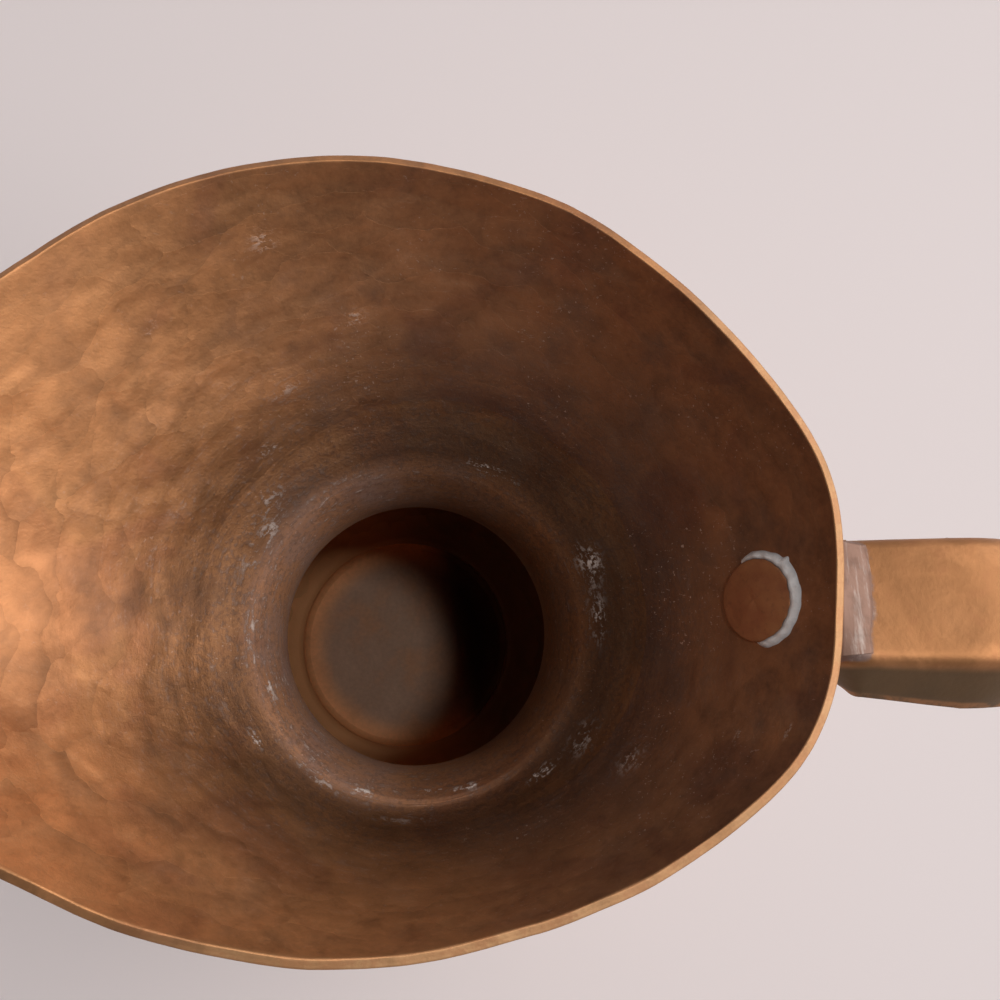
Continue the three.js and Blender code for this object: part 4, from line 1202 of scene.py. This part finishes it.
def strap_grid(s):
    """The strap's surface: its section carried along the route, rolled, and bent to lie on the
    wall or the belly where it hugs them. Where it hugs the wall, its upper flange doesn't lean."""
    route = handle_route(s)
    lines, forms, hosts = [], [], []
    for part, line in route.items():
        first = 0 if part == "tab" else 1
        u = np.linspace(0, 1, len(line))[first:]
        lines.append(line[first:])
        forms.append(np.stack(strap_forms(s, part, u), axis=1))
        hosts += [part] * len(u)
    line = np.concatenate(lines)
    width, flange, roll, hug = np.concatenate(forms).T
    way = np.gradient(line, axis=0)
    way /= np.linalg.norm(way, axis=1, keepdims=True)
    face = np.stack([-way[:, 1], way[:, 0]], axis=1)
    section = channel_section(s, width, flange)
    side, above = section[..., 0], section[..., 1]
    upper = np.array([part in ("tab", "root") for part in hosts])[:, None]
    side = side + np.where(upper & (side > 0), above * math.tan(s.flange_splay) * hug[:, None], 0)
    level = line[:, 1][:, None] + 0 * side
    wall_level = np.minimum(level, s.neck_level + s.mouth_rise - 1.5 * MM)
    wall = wall_at(s, s.handle_side + side, wall_level)[0][..., 0]
    wall_middle = wall_at(s, s.handle_side + 0 * side, wall_level)[0][..., 0]
    radius = belly_at(s, np.clip(level, 60 * MM, 150 * MM))[0]
    belly = np.sqrt(radius ** 2 - (s.handle_side + side) ** 2)
    belly_middle = np.sqrt(radius ** 2 - s.handle_side ** 2)
    sunk = np.where(upper, wall - wall_middle, belly - belly_middle)
    lift = above + hug[:, None] * sunk * face[:, 0][:, None]
    across = side * np.cos(roll)[:, None] + lift * np.sin(roll)[:, None]
    up = lift * np.cos(roll)[:, None] - side * np.sin(roll)[:, None]
    points = np.stack([
        line[:, 0][:, None] + face[:, 0][:, None] * up,
        s.handle_side + across,
        line[:, 1][:, None] + face[:, 1][:, None] * up,
    ], axis=-1)
    return points, section, line


def make_handle(s):
    """The handle: the strap's surface with its faces a little uneven from the hammer, by less
    than 0.1 mm, and its ends closed."""
    points, section, line = strap_grid(s)
    run = run_length(line)[:, None]
    side = section[..., 0]
    around = side / 0.02 * math.pi
    girth = (np.linspace(0, 0.4, 5), np.full(5, 0.04))
    height, tone = hammered(around, run + 0 * around, girth, 7 * MM, 1.0, 41)
    normal = grid_normals(points)
    calm = smooth((run - 12 * MM) / (10 * MM)) * smooth((run[-1] - 12 * MM - run) / (10 * MM))
    points = points + normal * (0.06 * MM * (height + 0.4) * calm)[..., None]
    edge = section[..., 1] / np.minimum(section[..., 1].min(axis=1), -1.0 * MM)[:, None]
    reach = mix(61.6, 64.4, smooth(0.5 + points[..., 1] / s.strap_root)) * MM
    tinned = 1 - smooth((points[..., 0] - reach) / (3 * MM))
    tinned = tinned * (run > TAB_LENGTH) * (1 - smooth(edge * 6))
    return build("handle", points, start_cap=True, end_cap=True, tone=tone, edge=edge, tinned=tinned)


def handle_copper(f):
    """Rubbed copper: brighter and warmer than the body, darker olive brown on the folded sides,
    with a light worn line along their cut edges and a grey tin wash beside the rim."""
    p = Paint("handle_copper")
    cloud = p.noise(75, 4, 0.6, distortion=0.8)
    fine = p.noise(320, 5, 0.62)
    grain = p.noise(1100, 3, 0.6)
    edge = p.mark("edge")
    tinned = p.mark("tinned")
    base = p.blend(colour(f.golden), colour(f.copper), cloud.clear(0.4, 0.7))
    base = p.blend(base, colour(f.reddish), fine.clear(0.5, 0.75) * 0.4)
    base = p.shade(base, 0.36 + p.mark("tone") * 0.2 + fine * 0.5 + cloud * 0.32)
    base = p.blend(base, colour(f.olive), edge.clear(0.1, 0.3) * 0.85)
    worn = edge.clear(0.84, 0.9) * (1 - edge.clear(0.95, 0.99)) * fine.clear(0.35, 0.6)
    base = p.blend(base, colour(f.copper), worn * 0.7)
    rough_side = edge.clear(0.1, 0.3) * 0.15
    veil = (tinned + p.noise(400, 4, 0.65) - 0.5).clear(0.3, 0.7)
    base = p.blend(base, colour(f.film), veil)
    base = p.blend(base, colour(f.lime), veil * p.noise(260, 4, 0.7).clear(0.52, 0.66) * 0.4)
    rough = 0.36 + fine * 0.16 + cloud * 0.1 + rough_side
    return p.finish(base, rough, grain + fine * 0.8 + cloud * 1.5, 0.35, 0.00014, 0.85 - veil * 0.4)


def make_rivet(name, place, head, inner, seed, head_thickness, hollow):
    """A rivet: a flat hammered head inside, a shank and a dome outside, turned round its own
    axis. The head's outline wavers by 2 percent, and its underside follows the hollow wall, whose
    depth is the radius squared over twice the hollow's radius."""
    outer = 1.2 * MM + 2 * SEAT
    face = inner - head_thickness
    dome_radius, dome_rise = 5.2 * MM, 2.6 * MM
    t = np.linspace(0, 1, 10)[:-1] * math.pi / 2
    crown = np.stack([np.linspace(0.3 * MM, head - 0.5 * MM, 12), np.full(12, face)], axis=1)
    rolled = bend((head - 0.45 * MM, face), (head, face), (head, face + 0.5 * MM), np.linspace(0, 1, 6))
    under = np.array([(head, inner - 0.1 * MM), (head - 0.2 * MM, inner), (3 * MM, inner), (3 * MM, outer)])
    dome = np.stack([dome_radius * np.cos(t), outer + dome_rise * np.sin(t)], axis=1)
    line = np.concatenate([crown, rolled, under, dome])
    around = np.linspace(0, TURN, 72, endpoint=False)[None, :]
    radius, height = line[:, 0][:, None], line[:, 1][:, None]
    flat_rows = (np.arange(len(line)) < 20)[:, None]
    waver = 1 + 0.022 * ripple(around, 0 * around, seed, 6) * flat_rows * smooth(radius / head)
    dish = radius ** 2 / (2 * hollow) * (height < inner + 0.2 * MM)
    girth = (np.linspace(0, 0.01, 5), np.linspace(0, 0.01, 5) * TURN)
    beaten, tone = hammered(around, radius + 0 * around, girth, 2.6 * MM, 1.0, seed)
    press = -0.09 * MM * beaten * (np.arange(len(line)) < 14)[:, None]
    dents = 0.5 + 0.5 * ripple(around, radius / dome_radius, seed + 3)
    dome_press = -0.16 * MM * dents * (height > outer + 0.3 * MM)
    points = put(round_axis(radius * waver, height + dish + press + dome_press, around), place)
    return build(name, points, start_cap=True, end_cap=True, tone=tone, crown=(height > outer) + 0 * around)


def rivet_copper(f):
    """Reddish brown copper with dark grain specks, worn lighter on the dome."""
    p = Paint("rivet_copper")
    cloud = p.noise(240, 4, 0.6)
    grain = p.noise(1200, 4, 0.6)
    base = p.blend(colour(f.reddish), colour(f.golden), cloud.clear(0.35, 0.7) * 0.6)
    base = p.shade(base, 1.25)
    base = p.blend(base, colour(f.umber), grain.clear(0.55, 0.8) * 0.4)
    base = p.blend(base, colour(f.copper), p.mark("crown") * 0.5)
    return p.finish(base, 0.42 + cloud * 0.2, cloud + grain * 0.4, 0.4, 0.00015, 0.55)


def make_upper_tin(s):
    """Tin round the upper rivet's head: for each direction a low bead from under the head's edge
    to its outer edge. It is up to 2.8 mm wide on its broad side, narrower on both sides of that
    and 0.45 mm opposite. Two small spurs stand out of it, and its edges are marked for painted
    shade, under the head's edge and along its outer edge."""
    around = np.linspace(0, TURN, 240, endpoint=False)[None, :]
    fullness = smooth((np.cos(around - math.radians(78)) + 0.6) / 0.75)
    broad = smooth(np.cos(around - math.radians(92)))
    spurs = sum(np.exp(-(turned_from(around, at) / 0.05) ** 2) for at in (-28, 44))
    lumps = 1 + 0.12 * ripple(around * 2, 0 * around, 9, 8)
    width = (mix(0.45, 1.7, fullness) + 1.1 * broad) * MM * lumps + spurs * 1.5 * MM
    inner_edge = s.upper_head - 0.2 * MM
    rise = mix(0.25, 1.35, fullness) * MM
    rows = []
    section = ((0, 0.0), (0.0, 0.85), (0.1, 0.98), (0.24, 1.0), (0.42, 0.92), (0.62, 0.72),
               (0.82, 0.4), (1.0, 0.1), (0.98, 0.0))
    for k, lift in section:
        radius = inner_edge + (width + 0.3 * MM) * k
        wall = -s.mouth_sheet + radius ** 2 / (2 * 60 * MM) - 0.02 * MM
        bumps = 1 + 0.16 * ripple(around * 3, k + 0 * around, 13, 7)
        rows.append(round_axis(radius, wall - rise * lift * bumps, around))
    points = put(np.concatenate(rows), upper_place(s))
    # Painted shade: darkest just under the head's edge, where it lies in the head's shadow, and along the
    # tin's outer edge.
    skirt = np.array([[max(0, k - 0.32) * 1.7 + max(0, 0.2 - k) * 4] for k, _ in section]) + 0 * around
    return build("upper_rivet_tin", points, rows_close=True, skirt=skirt)


def make_lower_tin(s, name, place):
    """Tin round a lower rivet's head inside the belly: a low ring with an uneven outer edge."""
    around = np.linspace(0, TURN, 96, endpoint=False)[None, :]
    start = -s.body_sheet
    rows = []
    for k, lift in ((0, 0.0), (0.0, 1.0), (0.35, 0.9), (0.75, 0.45), (1.0, 0.0)):
        radius = s.lower_head + 0.1 * MM + 1.3 * MM * k * (1 + 0.12 * ripple(around, 0 * around, 19, 6))
        wall = start + radius ** 2 / (2 * 34 * MM) * np.abs(np.cos(around)) - 0.4 * MM
        rows.append(round_axis(radius, wall - 0.8 * MM * lift, around))
    return build(name, put(np.concatenate(rows), place), rows_close=True)


def make_root_solder(s):
    """Solder in the groove between the wall and the strap: for each place across the strap a
    small closed section from the wall under the rim to its toe on the strap, bulging on the
    strap's lower side and hollow on its upper one. The toe lies furthest out on the upper side."""
    route = handle_route(s)
    count = 72
    side = np.linspace(-0.5, 0.5, count) * (s.strap_root - 1.7 * MM)
    strap_point = route["strap"][0]
    strap_way = route["strap"][-1] - strap_point
    strap_way = strap_way / np.linalg.norm(strap_way)
    face = np.array([-strap_way[1], strap_way[0]])
    wobble = ripple(side / s.strap_root * math.pi, 0 * side, 33, 6)
    middle = 1 - (side / s.strap_root * 2) ** 2
    high = 0.5 + side / s.strap_root
    reach = (63.5 * MM - strap_point[0]) / strap_way[0] + (0.6 * middle + 0.4 * wobble + 2.2 * high) * MM

    def on_strap(out, lift):
        across = side * math.cos(s.strap_roll) + lift * math.sin(s.strap_roll)
        up = lift * math.cos(s.strap_roll) - side * math.sin(s.strap_roll)
        spot = strap_point[None, :] + strap_way[None, :] * out[:, None] + face[None, :] * up[:, None]
        return np.stack([spot[:, 0], s.handle_side + across, spot[:, 1]], axis=1)

    def on_wall(level, off):
        point, out = wall_at(s, s.handle_side + side, level)
        return point + out * off

    rim = s.neck_level + s.mouth_rise
    top = on_wall(rim - mix(0.7, 1.4, high) * MM, 0.1 * MM)
    toe = on_strap(reach, 0.09 * MM + 0 * side)
    rows = [top]
    for k in np.linspace(0.12, 0.88, 7):
        grain = 0.03 * MM * np.sin(side * 1500 + 4 * k) * np.sin(side * 800 + 2) * math.sin(math.pi * k)
        hang = mix(0.45, -0.45, smooth(high)) * MM * math.sin(math.pi * k) + grain
        rows.append(mix(top, toe, k) + np.array([0, 0, 1.0]) * hang[:, None])
    rows.append(toe)
    rows.append(on_strap(reach * 0.97, -0.1 * MM + 0 * side))
    rows.append(on_strap(0 * side - 1.0 * MM, -0.35 * MM + 0 * side))
    rows.append(on_wall(rim - 4.5 * MM + 0 * side, 0.1 * MM))
    return build("handle_root_solder", np.stack(rows, axis=1), start_cap=True, end_cap=True)


# Operators


class JugOperator(Operator):
    """Shared base of the jug's operators."""

    bl_options = {"REGISTER", "UNDO"}


class COPPERJUG_OT_stage(JugOperator):
    """Sets up the floor, the soft lights and the camera over the mouth"""

    bl_idname = "copperjug.stage"
    bl_label = "Stage"

    def execute(self, context):
        f = finishes()
        scene = context.scene
        scene.view_settings.view_transform = "Standard"
        scene.world = self.surroundings(f)
        floor = build("floor", np.array([
            [(-3, -3, 0), (3, -3, 0)], [(-3, 3, 0), (3, 3, 0)],
        ], float), columns_close=False)
        p = Paint("pale_floor")
        p.shader.inputs["Specular IOR Level"].default_value = 0.2
        floor.data.materials.append(p.finish(colour(f.floor), 0.7, metallic=0.0))
        self.light(
            "window", place=(2.0, 0.3, 2.0), target=(0, 0, 0.15), width=2.8, depth=3.8, power=72,
            tone=(1.0, 0.97, 0.95),
        )
        self.light(
            "lamp", place=(0.06, 0.015, 0.65), target=(0, 0, 0.1), width=0.04, depth=0.04, power=0.46,
            tone=(1.0, 0.98, 0.97),
        )
        camera = bpy.data.objects.new("camera", bpy.data.cameras.new("camera"))
        camera.data.sensor_width = 36
        camera.data.lens = 36
        camera.data.clip_start = 0.01
        camera.matrix_world = Matrix((
            (0.99429, -0.00549, -0.10653, -0.00485),
            (-0.01083, 0.98832, -0.15202, -0.00393),
            (0.10612, 0.15231, 0.98262, 0.35429),
            (0, 0, 0, 1),
        ))
        scene.collection.objects.link(camera)
        scene.camera = camera
        return {"FINISHED"}

    @staticmethod
    def surroundings(f):
        """Pale light all round, a fifth as strong on one side as on the other: a smooth rise of the
        direction's product with a level axis. It is dim straight above, where whoever looks into
        the jug takes the light: a smooth fall of the product with an upright axis."""
        world = bpy.data.worlds.new("studio")
        world.use_nodes = True
        tree = world.node_tree
        where = tree.nodes.new("ShaderNodeTexCoord")
        rise = tree.nodes.new("ShaderNodeMapRange")
        shade = tree.nodes.new("ShaderNodeMapRange")
        scale = tree.nodes.new("ShaderNodeMath")
        scale.operation = "MULTIPLY"
        for node, axis, values in (
            (rise, (0.84, 0.54, 0), {"From Min": -0.7, "From Max": 1.0, "To Min": 0.18, "To Max": 0.9}),
            (shade, (0.08, 0.05, 0.995), {"From Min": 0.74, "From Max": 0.93, "To Min": 1, "To Max": 0.12}),
        ):
            along = tree.nodes.new("ShaderNodeVectorMath")
            along.operation = "DOT_PRODUCT"
            along.inputs[1].default_value = axis
            node.interpolation_type = "SMOOTHSTEP"
            for key, value in values.items():
                node.inputs[key].default_value = value
            tree.links.new(where.outputs["Generated"], along.inputs[0])
            tree.links.new(along.outputs["Value"], node.inputs["Value"])
        tree.links.new(rise.outputs[0], scale.inputs[0])
        tree.links.new(shade.outputs[0], scale.inputs[1])
        background = tree.nodes["Background"]
        background.inputs["Color"].default_value = (*f.backdrop, 1)
        tree.links.new(scale.outputs[0], background.inputs["Strength"])
        return world

    @staticmethod
    def light(name, place, target, width, depth, power, tone):
        """A soft rectangular light that looks from its place to a target."""
        data = bpy.data.lights.new(name, "AREA")
        data.shape = "RECTANGLE"
        data.size, data.size_y = width, depth
        data.energy = power
        data.color = tone
        lamp = bpy.data.objects.new(name, data)
        way = np.array(target, float) - np.array(place, float)
        back = -way / np.linalg.norm(way)
        side = np.cross((0, 1, 0), back)
        side /= np.linalg.norm(side)
        up = np.cross(back, side)
        turn = np.eye(4)
        turn[:3, 0], turn[:3, 1], turn[:3, 2], turn[:3, 3] = side, up, back, place
        lamp.matrix_world = Matrix(turn.tolist())
        bpy.context.scene.collection.objects.link(lamp)


class COPPERJUG_OT_belly(JugOperator):
    """Beats the belly with its narrow neck and trumpet lip"""

    bl_idname = "copperjug.belly"
    bl_label = "Belly"

    def execute(self, context):
        hand_over(make_belly(sizes()), aged_copper(finishes()), "body_copper", "belly")
        return {"FINISHED"}


class COPPERJUG_OT_mouth(JugOperator):
    """Beats the funnel mouth with its rim and pouring lip"""

    bl_idname = "copperjug.mouth"
    bl_label = "Mouth"

    def execute(self, context):
        copper = bpy.data.materials["aged_copper"]
        hand_over(make_mouth(sizes()), copper, "body_copper", "mouth_funnel")
        return {"FINISHED"}


class COPPERJUG_OT_base(JugOperator):
    """Makes the base pan"""

    bl_idname = "copperjug.base"
    bl_label = "Base pan"

    def execute(self, context):
        hand_over(make_base(sizes()), tinned_copper(finishes()), "tinned_copper", "base_pan")
        return {"FINISHED"}


class COPPERJUG_OT_solder(JugOperator):
    """Runs the solder beads at the base, the throat, the collar and the handle's root"""

    bl_idname = "copperjug.solder"
    bl_label = "Solder"

    def execute(self, context):
        s, f = sizes(), finishes()
        copper = bpy.data.materials["aged_copper"]
        hand_over(make_base_solder(s), tinned_copper(f), "tin_solder", "base_solder")
        hand_over(make_collar_solder(s), root_tin(f), "tin_solder", "collar_solder")
        hand_over(make_throat_solder(s), copper, "tin_solder", "throat_solder")
        hand_over(make_root_solder(s), root_tin(f), "tin_solder", "handle_root_solder")
        return {"FINISHED"}


class COPPERJUG_OT_handle(JugOperator):
    """Folds the strap handle"""

    bl_idname = "copperjug.handle"
    bl_label = "Handle"

    def execute(self, context):
        hand_over(make_handle(sizes()), handle_copper(finishes()), "handle_copper", "handle")
        return {"FINISHED"}


class COPPERJUG_OT_rivets(JugOperator):
    """Sets the rivets and the tin round their heads"""

    bl_idname = "copperjug.rivets"
    bl_label = "Rivets"

    def execute(self, context):
        s, f = sizes(), finishes()
        copper = rivet_copper(f)
        tin = tin_metal(f)
        place = upper_place(s)
        inner = -s.mouth_sheet - 0.55 * MM
        piece = make_rivet("upper_rivet", place, s.upper_head, inner, 51, 0.75 * MM, 60 * MM)
        hand_over(piece, copper, "rivet_copper", "upper_rivet")
        hand_over(make_upper_tin(s), tin, "tin_solder", "upper_rivet_tin")
        for which, name in enumerate(("lower_rivet_top", "lower_rivet_bottom")):
            place = lower_place(s, which)
            inner = -s.body_sheet - 2 * SEAT - s.lower_head ** 2 / (68 * MM)
            piece = make_rivet(name, place, s.lower_head, inner, 61 + which, 1.1 * MM, 1.0)
            hand_over(piece, copper, "rivet_copper", name)
            hand_over(make_lower_tin(s, f"{name}_tin", place), tin, "tin_solder", f"{name}_tin")
        return {"FINISHED"}


class COPPERJUG_PT_panel(Panel):
    """Lists the jug's operators and sizes"""

    bl_idname = "COPPERJUG_PT_panel"
    bl_label = "Copper Jug"
    bl_space_type = "VIEW_3D"
    bl_region_type = "UI"
    bl_category = "Copper Jug"

    def draw(self, context):
        for operator in OPERATORS:
            self.layout.operator(operator.bl_idname)
        for group in (sizes(), finishes()):
            box = self.layout.box()
            for key in group.bl_rna.properties.keys():
                if key not in ("rna_type", "name"):
                    box.prop(group, key)


OPERATORS = (
    COPPERJUG_OT_stage,
    COPPERJUG_OT_belly,
    COPPERJUG_OT_mouth,
    COPPERJUG_OT_base,
    COPPERJUG_OT_solder,
    COPPERJUG_OT_handle,
    COPPERJUG_OT_rivets,
)
CLASSES = (JugSizes, JugFinish, *OPERATORS, COPPERJUG_PT_panel)


def register():
    """Registers the classes and gives the scene the jug's sizes and colours."""
    for kind in CLASSES:
        bpy.utils.register_class(kind)
    bpy.types.Scene.copper_jug_sizes = PointerProperty(type=JugSizes)
    bpy.types.Scene.copper_jug_finish = PointerProperty(type=JugFinish)


def unregister():
    """Takes away what register added."""
    del bpy.types.Scene.copper_jug_sizes
    del bpy.types.Scene.copper_jug_finish
    for kind in reversed(CLASSES):
        bpy.utils.unregister_class(kind)


def main():
    """Registers the add-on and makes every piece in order."""
    register()
    bpy.ops.copperjug.stage()
    bpy.ops.copperjug.belly()
    bpy.ops.copperjug.mouth()
    bpy.ops.copperjug.base()
    bpy.ops.copperjug.solder()
    bpy.ops.copperjug.handle()
    bpy.ops.copperjug.rivets()


if __name__ == "__main__":
    main()
